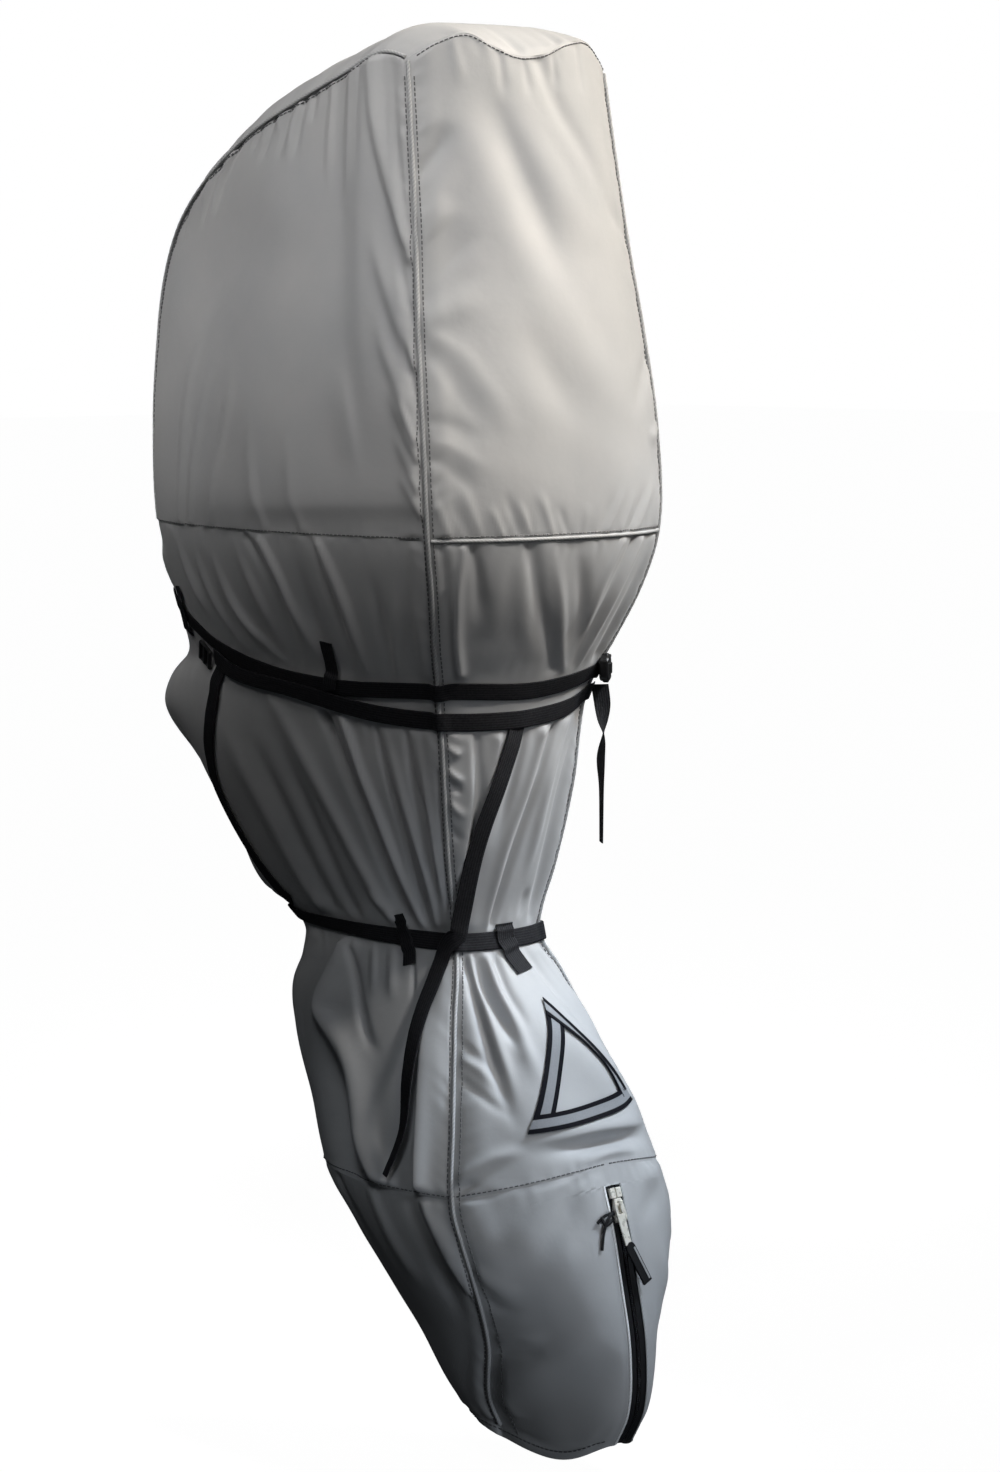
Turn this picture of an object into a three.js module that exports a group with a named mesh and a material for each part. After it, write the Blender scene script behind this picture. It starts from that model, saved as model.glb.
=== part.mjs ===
// Outboard motor cover: sewn cloth panels, gathered by two webbing belts, with a zip down the boot.
// Millimetres. +X is starboard, +Y is forward, +Z is up. The origin lies just under the crown, where the
// cover rests on the motor's head. Every drop is measured down from a level a little above it.
import * as THREE from 'three';

const crownRise = 7.2;
const cloth = { thick: 2, seamGap: 0.4, hoodSeam: 0.5, color: 0x9c9ea2, roughness: 0.5 };
const piping = { radius: 2.2, sides: 6, proud: 0.5, room: 3, trim: 3, color: 0xb4b6b8 };
const webbing = { width: 20, thick: 1.6, clear: 0.9, color: 0x17181b };
const drops = { hem: 545, bootSeam: 1246, floor: 1516 };

// Plan outline of one section: the aft panel swells between its corners, a side widens to the beam
// and then rounds into the nose.
const plan = { aftRound: 2.6, noseRound: 3.2, beamAt: 0.45, steps: 40, lengthSteps: 120 };

// One row for each section: corner of the aft panel, its swell, half beam and nose.
const sections = [
  { drop: 0, aftX: 138, aftY: -42, aftSwell: 38, beamX: 168, noseY: 430 },
  { drop: 140, aftX: 146, aftY: -62, aftSwell: 41, beamX: 180, noseY: 442 },
  { drop: 235, aftX: 153, aftY: -76, aftSwell: 43, beamX: 188, noseY: 446 },
  { drop: 325, aftX: 162, aftY: -90, aftSwell: 45, beamX: 199, noseY: 450 },
  { drop: 430, aftX: 169, aftY: -105, aftSwell: 47, beamX: 208, noseY: 456 },
  { drop: 545, aftX: 167, aftY: -110, aftSwell: 46, beamX: 206, noseY: 452 },
  { drop: 605, aftX: 152, aftY: -99, aftSwell: 43, beamX: 190, noseY: 441 },
  { drop: 665, aftX: 130, aftY: -78, aftSwell: 36, beamX: 165, noseY: 436 },
  { drop: 697, aftX: 116, aftY: -66, aftSwell: 32, beamX: 151, noseY: 438 },
  { drop: 730, aftX: 106, aftY: -57, aftSwell: 30, beamX: 144, noseY: 480 },
  { drop: 765, aftX: 100, aftY: -55, aftSwell: 28, beamX: 138, noseY: 498 },
  { drop: 820, aftX: 94, aftY: -52, aftSwell: 26, beamX: 129, noseY: 450 },
  { drop: 917, aftX: 76, aftY: -40, aftSwell: 21, beamX: 105, noseY: 374 },
  { drop: 965, aftX: 63, aftY: -33, aftSwell: 18, beamX: 89, noseY: 335 },
  { drop: 992, aftX: 60, aftY: -33, aftSwell: 17, beamX: 83, noseY: 275 },
  { drop: 1032, aftX: 76, aftY: -51, aftSwell: 30, beamX: 98, noseY: 258 },
  { drop: 1060, aftX: 87, aftY: -61, aftSwell: 52, beamX: 110, noseY: 264 },
  { drop: 1110, aftX: 106, aftY: -81, aftSwell: 72, beamX: 129, noseY: 238 },
  { drop: 1170, aftX: 128, aftY: -104, aftSwell: 85, beamX: 149, noseY: 202 },
  { drop: 1257, aftX: 151, aftY: -130, aftSwell: 92, beamX: 170, noseY: 148 },
  { drop: 1290, aftX: 151, aftY: -144, aftSwell: 88, beamX: 169, noseY: 113 },
  { drop: 1330, aftX: 139, aftY: -148, aftSwell: 93, beamX: 155, noseY: 85 },
  { drop: 1410, aftX: 101, aftY: -130, aftSwell: 127, beamX: 113, noseY: 35 },
  { drop: 1480, aftX: 79, aftY: -108, aftSwell: 146, beamX: 87, noseY: -12 },
  { drop: 1516, aftX: 62, aftY: -108, aftSwell: 128, beamX: 68, noseY: -45 },
];

// Crown seam on the side: side is the share of the way from the aft corner to the nose.
const crownSeam = {
  span: 700,
  corner: 0.66,
  spread: 1.15,
  rows: [
    { side: 0, drop: 44 },
    { side: 0.04, drop: 37 },
    { side: 0.08, drop: 41 },
    { side: 0.15, drop: 60 },
    { side: 0.26, drop: 88 },
    { side: 0.42, drop: 124 },
    { side: 0.57, drop: 172 },
    { side: 0.68, drop: 225 },
    { side: 0.755, drop: 300 },
    { side: 0.79, drop: 390 },
    { side: 0.8, drop: 470 },
    { side: 0.8, drop: 545 },
  ],
};

// Wavy seam between the crown and the aft panel, from port to starboard.
const aftSeam = [
  { girth: -1, drop: 44 },
  { girth: -0.8, drop: 25 },
  { girth: -0.58, drop: 16 },
  { girth: -0.38, drop: 27 },
  { girth: -0.14, drop: 37 },
  { girth: 0.14, drop: 33 },
  { girth: 0.4, drop: 20 },
  { girth: 0.72, drop: 17 },
  { girth: 1, drop: 44 },
];

// Dome of the crown along its length: how far it swells, and how far that leans forward in degrees.
const crownDome = [
  { along: 0, swell: 42, lean: 0 },
  { along: 0.25, swell: 42, lean: 20 },
  { along: 0.5, swell: 38, lean: 30 },
  { along: 0.7, swell: 30, lean: 60 },
  { along: 0.85, swell: 22, lean: 85 },
  { along: 1, swell: 18, lean: 90 },
];
const crownBlend = 70;

// Girth runs from -1 to 1 across the aft panel, and on to -2 or 2 along a side to the nose.
const upperBelt = [
  { girth: -2, drop: 624 },
  { girth: -1.76, drop: 638 },
  { girth: -1.69, drop: 658 },
  { girth: -1.59, drop: 684 },
  { girth: -1.26, drop: 711 },
  { girth: -1, drop: 709 },
  { girth: 0, drop: 712 },
  { girth: 0.84, drop: 700 },
  { girth: 1, drop: 697 },
  { girth: 1.3, drop: 696 },
  { girth: 1.6, drop: 680 },
  { girth: 1.76, drop: 640 },
  { girth: 2, drop: 624 },
];
const lowerStrand = [
  { girth: -1.62, drop: 692 },
  { girth: -1.57, drop: 704 },
  { girth: -1.33, drop: 720 },
  { girth: -1.09, drop: 740 },
  { girth: -1, drop: 742 },
  { girth: -0.73, drop: 744 },
  { girth: 0.44, drop: 738 },
  { girth: 0.8, drop: 729 },
  { girth: 1, drop: 720 },
];
const ankleBelt = [
  { girth: -2, drop: 990 },
  { girth: 2, drop: 990 },
];

// Folds, each a soft ridge, or a trough where its height is negative, between two points of a panel.
const folds = {
  aft: [
    { girth: -0.5, drop: 64, toGirth: 0.17, toDrop: 420, bend: 0, height: -8, width: 34 },
    { girth: -0.83, drop: 556, toGirth: -0.82, toDrop: 698, bend: 0, height: 6, width: 13 },
    { girth: -0.2, drop: 552, toGirth: 0.26, toDrop: 696, bend: 0, height: -8, width: 18 },
    { girth: 0.34, drop: 556, toGirth: 0.46, toDrop: 692, bend: 0, height: 5, width: 14 },
    { girth: 0.76, drop: 562, toGirth: 0.79, toDrop: 690, bend: 0, height: 5, width: 13 },
    { girth: -0.7, drop: 752, toGirth: -0.78, toDrop: 980, bend: 6, height: 4, width: 12 },
    { girth: 0.36, drop: 750, toGirth: -0.4, toDrop: 980, bend: 0, height: -7, width: 12 },
    { girth: 0.66, drop: 746, toGirth: 0.29, toDrop: 980, bend: 0, height: -6, width: 12 },
    { girth: -0.82, drop: 1004, toGirth: -0.6, toDrop: 1150, bend: 0, height: -7, width: 12 },
    { girth: -0.62, drop: 1004, toGirth: -0.36, toDrop: 1120, bend: 0, height: -6, width: 13 },
    { girth: 0.5, drop: 1004, toGirth: 0.66, toDrop: 1120, bend: 0, height: -5, width: 14 },
    { girth: -0.72, drop: 1190, toGirth: 0.72, toDrop: 1196, bend: -12, height: -9, width: 14 },
  ],
  side: [
    { girth: 1.57, drop: 552, toGirth: 1.57, toDrop: 668, bend: 0, height: 5, width: 20 },
    { girth: 1.49, drop: 552, toGirth: 1.47, toDrop: 680, bend: 0, height: 6, width: 17 },
    { girth: 1.34, drop: 552, toGirth: 1.31, toDrop: 696, bend: 0, height: 7, width: 18 },
    { girth: 1.21, drop: 552, toGirth: 1.16, toDrop: 698, bend: 0, height: 7, width: 15 },
    { girth: 1.1, drop: 560, toGirth: 1.09, toDrop: 696, bend: 0, height: -6, width: 13 },
    { girth: 1.22, drop: 748, toGirth: 1.11, toDrop: 980, bend: 0, height: -8, width: 13 },
    { girth: 1.14, drop: 752, toGirth: 1.05, toDrop: 980, bend: 0, height: -7, width: 11 },
    { girth: 1.3, drop: 742, toGirth: 1.24, toDrop: 980, bend: 0, height: 6, width: 17 },
    { girth: 1.41, drop: 736, toGirth: 1.39, toDrop: 980, bend: 0, height: -9, width: 20 },
    { girth: 1.54, drop: 724, toGirth: 1.52, toDrop: 980, bend: 0, height: 6, width: 22 },
    { girth: 1.44, drop: 1004, toGirth: 1.32, toDrop: 1215, bend: 26, height: 12, width: 22 },
    { girth: 1.62, drop: 1010, toGirth: 1.52, toDrop: 1225, bend: 24, height: -12, width: 26 },
    { girth: 1.08, drop: 1012, toGirth: 1.09, toDrop: 1300, bend: 4, height: 8, width: 14 },
    { girth: 1.2, drop: 1010, toGirth: 1.2, toDrop: 1240, bend: 6, height: -7, width: 22 },
  ],
};

// Folds fade out towards the belts and seams, where the cloth is held flat, and towards their own ends.
const foldFade = { seamFrom: 2, seamTo: 14, beltFrom: 13, beltTo: 32, ends: 0.7 };

// Columns and rows of the cloth, closer together where the cloth is gathered and near the aft corners.
const mesh = { hoodSide: 12, hoodRows: 10, across: 10, port: 24, aft: 12, starboard: 11 };
const bootMesh = { side: 11, rows: 11, aft: 6 };
const towardsCorner = { port: 1.35, side: 1.2 };
const bodyRows = [
  { to: 640, rows: 4 },
  { to: 700, rows: 4 },
  { to: 760, rows: 4 },
  { to: 960, rows: 7 },
  { to: 980, rows: 1 },
  { to: 1000, rows: 2 },
  { to: 1040, rows: 3 },
  { to: 1246, rows: 7 },
];
const bootRise = { height: 28, above: 1150, below: 1330 };
const hemSag = { height: 22, girth: 0.75, spread: 0.3, from: 1440 };

// Straps that cross the panels, from top to foot; twist turns the strap on its edge, in degrees.
const slantStrap = [
  { girth: -0.22, drop: 760, twist: 0 },
  { girth: -0.42, drop: 810, twist: 0 },
  { girth: -0.63, drop: 866, twist: 0 },
  { girth: -0.82, drop: 930, twist: 0 },
  { girth: -0.98, drop: 978, twist: 0 },
  { girth: -1.035, drop: 1002, twist: 0 },
  { girth: -1.07, drop: 1030, twist: 0 },
  { girth: -1.105, drop: 1084, twist: -4 },
  { girth: -1.12, drop: 1130, twist: -8 },
  { girth: -1.142, drop: 1184, twist: -12 },
  { girth: -1.2, drop: 1232, twist: -10 },
];
const frontStrap = [
  { girth: -1.595, drop: 722, twist: 0 },
  { girth: -1.59, drop: 745, twist: 0 },
  { girth: -1.615, drop: 775, twist: 0 },
  { girth: -1.69, drop: 815, twist: 0 },
  { girth: -1.74, drop: 855, twist: 0 },
  { girth: -1.75, drop: 910, twist: 0 },
  { girth: -1.73, drop: 972, twist: 0 },
];

// Belt loops: place on a belt, reach above and below it, lean of the belt there, and slant at the foot.
const beltLoops = [
  { name: 'belt_loop_upper_port', belt: upperBelt, girth: -1.245, above: 50, below: 3, lean: 0, slant: 2 },
  { name: 'belt_loop_upper_fore', belt: upperBelt, girth: -1.72, above: 32, below: 24, lean: 7, slant: -6 },
  { name: 'belt_loop_ankle_port', belt: ankleBelt, girth: -1.185, above: 25, below: 28, lean: 0, slant: 2 },
  { name: 'belt_loop_ankle_aft', belt: ankleBelt, girth: -0.12, above: 20, below: 34, lean: 0, slant: 9 },
];
const loopShape = { width: 18, columns: 2, clear: 1, slope: 4, end: 2, thick: 1.4 };

// Tail of webbing that hangs free from the buckle: position, and the way its width faces, in degrees.
const buckleTail = [
  { x: 124, y: -64, drop: 716.6, face: -30 },
  { x: 127, y: -65, drop: 738, face: -20 },
  { x: 128, y: -65, drop: 756, face: 10 },
  { x: 129, y: -65, drop: 775, face: 52 },
  { x: 126, y: -64, drop: 800, face: 72 },
  { x: 127, y: -64, drop: 835, face: 60 },
  { x: 127, y: -64, drop: 894, face: 56 },
];

// Reflective triangle on the aft panel: outer corners, and the width of its tapes.
const triangle = { width: 17, thick: 1, clear: 0.6, gap: 0.4, steps: 8 };
const triangleCorners = [
  { across: 2, drop: 1050 },
  { across: -80, drop: 1178 },
  { across: 76, drop: 1164 },
];

const zip = { half: 12.5, teethHalf: 2.6, tapeThick: 1, tapeSunk: 0.8, teethThick: 2.4, gap: 0.6 };
const slider = { length: 22, width: 13, deep: 4, waist: 9, shoulder: 4.4, cleft: 8.8, top: 1240, clear: 0.4 };
const pull = { length: 40, width: 9, foot: 6, thick: 2, holeWidth: 4, holeLength: 9, top: 1258, lean: 0.16 };
const pullTag = { length: 50, width: 12, thick: 3, lean: 0.32 };
const ribbon = { length: 30, width: 7, thick: 1.2, fork: 9, lean: -0.5, girth: -0.08, top: 1255, clear: 0.6 };
const buckle = { length: 40, width: 27, nose: 18, deep: 9, notch: 5, girth: 1.02, drop: 697 };
const ladderLock = { width: 24, plate: 2.2, bar: 2.4, girth: -1.665, drop: 693, lift: 2.8 };
const ladderBars = [
  { from: -13, to: -9.1 },
  { from: -3.2, to: 2 },
  { from: 8.5, to: 13 },
];
const roundSegments = 8;

// A smooth curve through one named column of a table.
function tableCurve(rows, at, columns) {
  const values = rows.flatMap((row) => columns.map((column) => row[column]));
  const curve = new THREE.CubicInterpolant(rows.map((row) => row[at]), values, columns.length);
  return (place) => {
    const found = curve.evaluate(place);
    return Object.fromEntries(columns.map((column, k) => [column, found[k]]));
  };
}

const sectionAt = tableCurve(sections, 'drop', ['aftX', 'aftY', 'aftSwell', 'beamX', 'noseY']);
const aftSeamAt = tableCurve(aftSeam, 'girth', ['drop']);
const crownDomeAt = tableCurve(crownDome, 'along', ['swell', 'lean']);
const beltPaths = [upperBelt, lowerStrand, ankleBelt];
const beltCurves = new Map(beltPaths.map((path) => [path, tableCurve(path, 'girth', ['drop'])]));
const beltDrop = (path, girth) => beltCurves.get(path)(girth).drop;

// The side of one section, from the aft port corner to the nose, measured by its length.
const sideCurves = new Map();
function sideCurve(drop) {
  if (!sideCurves.has(drop)) {
    const { aftX, aftY, beamX, noseY } = sectionAt(drop);
    const points = [];
    for (let k = 0; k <= plan.steps; k += 1) {
      const angle = (Math.PI / 2) * (k / plan.steps) ** (plan.noseRound / 2);
      const along = Math.sin(angle) ** (2 / plan.noseRound);
      const across = k === plan.steps ? 0 : Math.cos(angle) ** (2 / plan.noseRound);
      const widening = 1 - (1 - Math.min(along / plan.beamAt, 1)) ** 2;
      const halfWidth = aftX + (beamX - aftX) * widening;
      points.push(new THREE.Vector2(-halfWidth * across, aftY + along * (noseY - aftY)));
    }
    const curve = new THREE.SplineCurve(points);
    curve.arcLengthDivisions = plan.lengthSteps;
    sideCurves.set(drop, curve);
  }
  return sideCurves.get(drop);
}

function ringPoint(girth, drop) {
  if (Math.abs(girth) <= 1) {
    const { aftX, aftY, aftSwell } = sectionAt(drop);
    const swell = aftSwell * (1 - Math.abs(girth) ** plan.aftRound);
    return new THREE.Vector3(aftX * girth, aftY - swell, -drop);
  }
  const port = sideCurve(drop).getPointAt(Math.min(Math.abs(girth) - 1, 1));
  return new THREE.Vector3(girth < 0 ? port.x : -port.x, port.y, -drop);
}

// Millimetres around the section from the aft centre, or from the corner on a side.
function girthLength(girth, drop) {
  if (Math.abs(girth) <= 1) return girth * sectionAt(drop).aftX;
  return (Math.abs(girth) - 1) * sideCurve(drop).getLength();
}

// Millimetres around the section to the nearest aft corner.
function cornerDistance(girth, drop) {
  if (Math.abs(girth) <= 1) return (1 - Math.abs(girth)) * sectionAt(drop).aftX;
  return girthLength(girth, drop);
}

function foldRoom(girth, drop) {
  let room = THREE.MathUtils.smoothstep(cornerDistance(girth, drop), foldFade.seamFrom, foldFade.seamTo);
  for (const path of beltPaths) {
    const away = Math.abs(drop - beltDrop(path, girth));
    room *= THREE.MathUtils.smoothstep(away, foldFade.beltFrom, foldFade.beltTo);
  }
  return room;
}

function foldHeight(girth, drop) {
  const onAft = Math.abs(girth) <= 1;
  const place = onAft ? girth : Math.abs(girth);
  const here = new THREE.Vector2(girthLength(place, drop), drop);
  let height = 0;
  for (const fold of onAft ? folds.aft : folds.side) {
    const start = new THREE.Vector2(girthLength(fold.girth, fold.drop), fold.drop);
    const line = new THREE.Vector2(girthLength(fold.toGirth, fold.toDrop), fold.toDrop).sub(start);
    const length = line.length();
    const along = here.clone().sub(start).dot(line) / length ** 2;
    if (along > 0 && along < 1) {
      const bend = fold.bend * 4 * along * (1 - along);
      const aside = line.cross(here.clone().sub(start)) / length + bend;
      const rise = Math.sin(Math.PI * along) ** foldFade.ends;
      height += fold.height * rise * Math.exp(-((aside / fold.width) ** 2));
    }
  }
  return height * foldRoom(girth, drop);
}

// Direction away from the cover at a point of the ring.
function outward(girth, drop) {
  const step = 0.01;
  const rise = 3;
  const right = ringPoint(Math.min(girth + step, 2), drop).sub(ringPoint(Math.max(girth - step, -2), drop));
  const up = ringPoint(girth, drop - rise).sub(ringPoint(girth, drop + rise));
  return right.cross(up).normalize();
}

function clothPoint(girth, drop, lift = 0) {
  const height = foldHeight(girth, drop) + lift;
  return ringPoint(girth, drop).addScaledVector(outward(girth, drop), height);
}

// A grid is an array of columns from left to right, each an array of points from foot to top.
function makeGrid(columns, rows, pointAt) {
  const column = (i) => Array.from({ length: rows + 1 }, (_, j) => pointAt(i, j));
  return Array.from({ length: columns + 1 }, (_, i) => column(i));
}

const mirrorLine = (points) => points.map((point) => new THREE.Vector3(-point.x, point.y, point.z));
const mirrorGrid = (grid) => grid.map(mirrorLine).reverse();

function gridNormals(grid) {
  const lastColumn = grid.length - 1;
  const lastRow = grid[0].length - 1;
  return makeGrid(lastColumn, lastRow, (i, j) => {
    const right = grid[Math.min(i + 1, lastColumn)][j].clone().sub(grid[Math.max(i - 1, 0)][j]);
    const up = grid[i][Math.min(j + 1, lastRow)].clone().sub(grid[i][Math.max(j - 1, 0)]);
    return right.cross(up).normalize();
  });
}

// Draws the edges of a grid back from its seams, by the room that each seam needs, square to the seam.
// A corner where two edges run on in one line is drawn back from that line.
const seamTurn = { leastSine: 0.3, straightCosine: -0.5 };
function drawBack(grid, room) {
  const lastColumn = grid.length - 1;
  const lastRow = grid[0].length - 1;
  const way = (from, to) => to.clone().sub(from).normalize();
  const back = (point, inner, seam, distance) => {
    const inward = way(point, inner);
    const sine = inward.clone().cross(seam).length();
    return inward.multiplyScalar(distance / Math.max(sine, seamTurn.leastSine));
  };
  return makeGrid(lastColumn, lastRow, (i, j) => {
    const point = grid[i][j];
    const moved = point.clone();
    const nextColumn = i === 0 ? 1 : i - 1;
    const nextRow = j === 0 ? 1 : j - 1;
    const alongRow = way(grid[Math.max(i - 1, 0)][j], grid[Math.min(i + 1, lastColumn)][j]);
    const alongColumn = way(grid[i][Math.max(j - 1, 0)], grid[i][Math.min(j + 1, lastRow)]);
    const sideRoom = i === 0 ? room.left : room.right;
    const endRoom = j === 0 ? room.foot : room.top;
    const onSide = i === 0 || i === lastColumn;
    const onEnd = j === 0 || j === lastRow;
    const cosine = way(point, grid[nextColumn][j]).dot(way(point, grid[i][nextRow]));
    if (onSide && onEnd && cosine < seamTurn.straightCosine) {
      const smoothSeam = way(grid[nextColumn][j], grid[i][nextRow]);
      return moved.add(back(point, grid[nextColumn][nextRow], smoothSeam, Math.max(sideRoom, endRoom)));
    }
    if (onSide) moved.add(back(point, grid[nextColumn][j], alongColumn, sideRoom));
    if (onEnd) moved.add(back(point, grid[i][nextRow], alongRow, endRoom));
    return moved;
  });
}

// A thick sheet is a flat box whose points are moved onto the grid, its back one thickness inside.
function sheetGeometry(grid, normals, thick) {
  const columns = grid.length - 1;
  const rows = grid[0].length - 1;
  const geometry = new THREE.BoxGeometry(1, 1, 1, columns, rows, 1);
  const place = geometry.attributes.position;
  for (let k = 0; k < place.count; k += 1) {
    const i = Math.round((place.getX(k) + 0.5) * columns);
    const j = Math.round((place.getY(k) + 0.5) * rows);
    const point = grid[i][j].clone();
    if (place.getZ(k) < 0) point.addScaledVector(normals[i][j], -thick);
    place.setXYZ(k, point.x, point.y, point.z);
  }
  geometry.computeVertexNormals();
  return geometry;
}

// Two panels that meet at an angle share one mitred direction along their seam.
const leastMitre = 0.6;
function mitre(normalsA, columnRowA, normalsB, columnRowB) {
  for (let i = 0; i < normalsA.length; i += 1) {
    const a = normalsA[i][columnRowA];
    const b = normalsB[i][columnRowB];
    const middle = a.clone().add(b).normalize();
    middle.divideScalar(Math.max(middle.dot(a), leastMitre));
    a.copy(middle);
    b.copy(middle);
  }
}

// A tube is a cylinder whose rings are moved along a line of points.
const tubeSide = new THREE.Vector3(0.9, -0.3, 0.2).normalize();
function tubeGeometry(points, radius, sides) {
  const steps = points.length - 1;
  const geometry = new THREE.CylinderGeometry(radius, radius, 1, sides, steps);
  const place = geometry.attributes.position;
  const side = tubeSide.clone();
  const frames = points.map((point, k) => {
    const forward = points[Math.min(k + 1, steps)].clone().sub(points[Math.max(k - 1, 0)]).normalize();
    const normal = side.clone().addScaledVector(forward, -side.dot(forward)).normalize();
    side.copy(normal);
    return { normal, binormal: normal.clone().cross(forward) };
  });
  for (let k = 0; k < place.count; k += 1) {
    const step = Math.round((place.getY(k) + 0.5) * steps);
    const { normal, binormal } = frames[step];
    const point = points[step].clone();
    point.addScaledVector(normal, place.getX(k)).addScaledVector(binormal, place.getZ(k));
    place.setXYZ(k, point.x, point.y, point.z);
  }
  geometry.computeVertexNormals();
  return geometry;
}

const cover = new THREE.Group();
cover.position.z = crownRise;

function addMesh(name, geometry, look) {
  const { color, roughness = 0.6, metalness = 0 } = look;
  const piece = new THREE.Mesh(geometry, new THREE.MeshStandardMaterial({ color, roughness, metalness }));
  piece.name = name;
  cover.add(piece);
  return piece;
}

const plainSeam = cloth.seamGap / 2;
function addPanel(name, grid, room, normals = gridNormals(grid)) {
  const edges = { left: plainSeam, right: plainSeam, foot: plainSeam, top: plainSeam, ...room };
  addMesh(name, sheetGeometry(drawBack(grid, edges), normals, cloth.thick), cloth);
}

// Hood.
const seamLine = new THREE.SplineCurve(
  crownSeam.rows.map((row) => new THREE.Vector2(row.side * crownSeam.span, row.drop)),
);
const seamRowCount = mesh.hoodSide + mesh.hoodRows;
function seamShare(row) {
  if (row <= mesh.hoodSide) return crownSeam.corner * (row / mesh.hoodSide) ** crownSeam.spread;
  return crownSeam.corner + (1 - crownSeam.corner) * ((row - mesh.hoodSide) / mesh.hoodRows);
}
const seamPlace = (row) => seamLine.getPointAt(Math.min(seamShare(row), 1));
const placeOnSide = (place) => clothPoint(-1 - place.x / crownSeam.span, place.y);

// The port hood panel fills the space between its hem, the aft corner and the crown seam.
function hoodSidePoint(i, j) {
  const fore = 1 - i / mesh.hoodSide;
  const high = j / mesh.hoodRows;
  const top = seamPlace(mesh.hoodSide - i);
  const front = seamPlace(seamRowCount - j);
  const frontFoot = seamPlace(seamRowCount);
  const frontTop = seamPlace(mesh.hoodSide);
  const aftTop = seamPlace(0);
  const foreShare = top.x / frontTop.x;
  const foot = new THREE.Vector2(frontFoot.x * foreShare, drops.hem);
  const aft = new THREE.Vector2(0, THREE.MathUtils.lerp(drops.hem, aftTop.y, high));
  const place = foot.clone().multiplyScalar(1 - high).addScaledVector(top, high);
  place.addScaledVector(aft, 1 - fore).addScaledVector(front, fore);
  place.addScaledVector(new THREE.Vector2(0, drops.hem), -(1 - fore) * (1 - high));
  place.addScaledVector(frontFoot, -fore * (1 - high));
  place.addScaledVector(aftTop, -(1 - fore) * high).addScaledVector(frontTop, -fore * high);
  return placeOnSide(place);
}

const noseWidth = Math.abs(placeOnSide(seamPlace(seamRowCount)).x) / sectionAt(drops.hem).beamX;
function domeShape(across) {
  const reach = (share) => (1 - share ** plan.noseRound) ** (1 / plan.noseRound);
  return (reach(noseWidth * Math.abs(across)) - reach(noseWidth)) / (1 - reach(noseWidth));
}

function crownPoint(i, row) {
  const across = -1 + (2 * i) / mesh.across;
  const edge = placeOnSide(seamPlace(row));
  const { swell, lean } = crownDomeAt(seamShare(row));
  const rise = swell * domeShape(across);
  const angle = THREE.MathUtils.degToRad(lean);
  const forward = rise * Math.sin(angle);
  const dome = new THREE.Vector3(-edge.x * across, edge.y + forward, edge.z + rise * Math.cos(angle));
  const fromAft = seamPlace(row).x;
  const share = Math.max(1 - fromAft / crownBlend, 0) ** 2;
  return dome.lerp(aftSeamPoint(across), share);
}

function aftSeamPoint(across) {
  return clothPoint(across, aftSeamAt(across).drop);
}

function hoodAftPoint(i, j) {
  const across = -1 + (2 * i) / mesh.across;
  return clothPoint(across, THREE.MathUtils.lerp(drops.hem, aftSeamAt(across).drop, j / mesh.hoodRows));
}

const crownGrid = makeGrid(mesh.across, seamRowCount, crownPoint);
const hoodAftGrid = makeGrid(mesh.across, mesh.hoodRows, hoodAftPoint);
const hoodPortGrid = makeGrid(mesh.hoodSide, mesh.hoodRows, hoodSidePoint);
const crownNormals = gridNormals(crownGrid);
const hoodAftNormals = gridNormals(hoodAftGrid);
mitre(crownNormals, 0, hoodAftNormals, mesh.hoodRows);
const piped = piping.room;
addPanel('hood_crown', crownGrid, { left: piped, right: piped, top: cloth.hoodSeam }, crownNormals);
addPanel('hood_aft', hoodAftGrid, { left: piped, right: piped, foot: piped }, hoodAftNormals);
const hoodSideRoom = { left: piped, right: piped, top: piped, foot: cloth.hoodSeam };
addPanel('hood_port', hoodPortGrid, hoodSideRoom);
addPanel('hood_starboard', mirrorGrid(hoodPortGrid), hoodSideRoom);

// Leg and boot.
const legDrops = [drops.hem];
for (const band of bodyRows) {
  const start = legDrops.at(-1);
  for (let k = 1; k <= band.rows; k += 1) {
    legDrops.push(THREE.MathUtils.lerp(start, band.to, k / band.rows));
  }
}

const spread = (count, from, to, power = 1) => (
  Array.from({ length: count + 1 }, (_, k) => from + (to - from) * (k / count) ** power)
);
const bootDrops = spread(bootMesh.rows, drops.bootSeam, drops.floor);

// The boot seam rises across the aft panel, the foot hem sags beside the zip, and rows near them follow.
function levelDrop(drop, girth) {
  const arch = Math.max(1 - girth ** 2, 0);
  const near = drop < drops.bootSeam
    ? THREE.MathUtils.smoothstep(drop, bootRise.above, drops.bootSeam)
    : 1 - THREE.MathUtils.smoothstep(drop, drops.bootSeam, bootRise.below);
  const lobe = Math.exp(-(((Math.abs(girth) - hemSag.girth) / hemSag.spread) ** 2));
  const sag = hemSag.height * lobe * THREE.MathUtils.smoothstep(drop, hemSag.from, drops.floor);
  return drop - bootRise.height * arch * near + sag;
}

const girths = {
  port: spread(mesh.port, -1, -2, towardsCorner.port).reverse(),
  aft: spread(mesh.aft, -1, 1),
  starboard: spread(mesh.starboard, 1, 2, towardsCorner.side),
};

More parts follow.
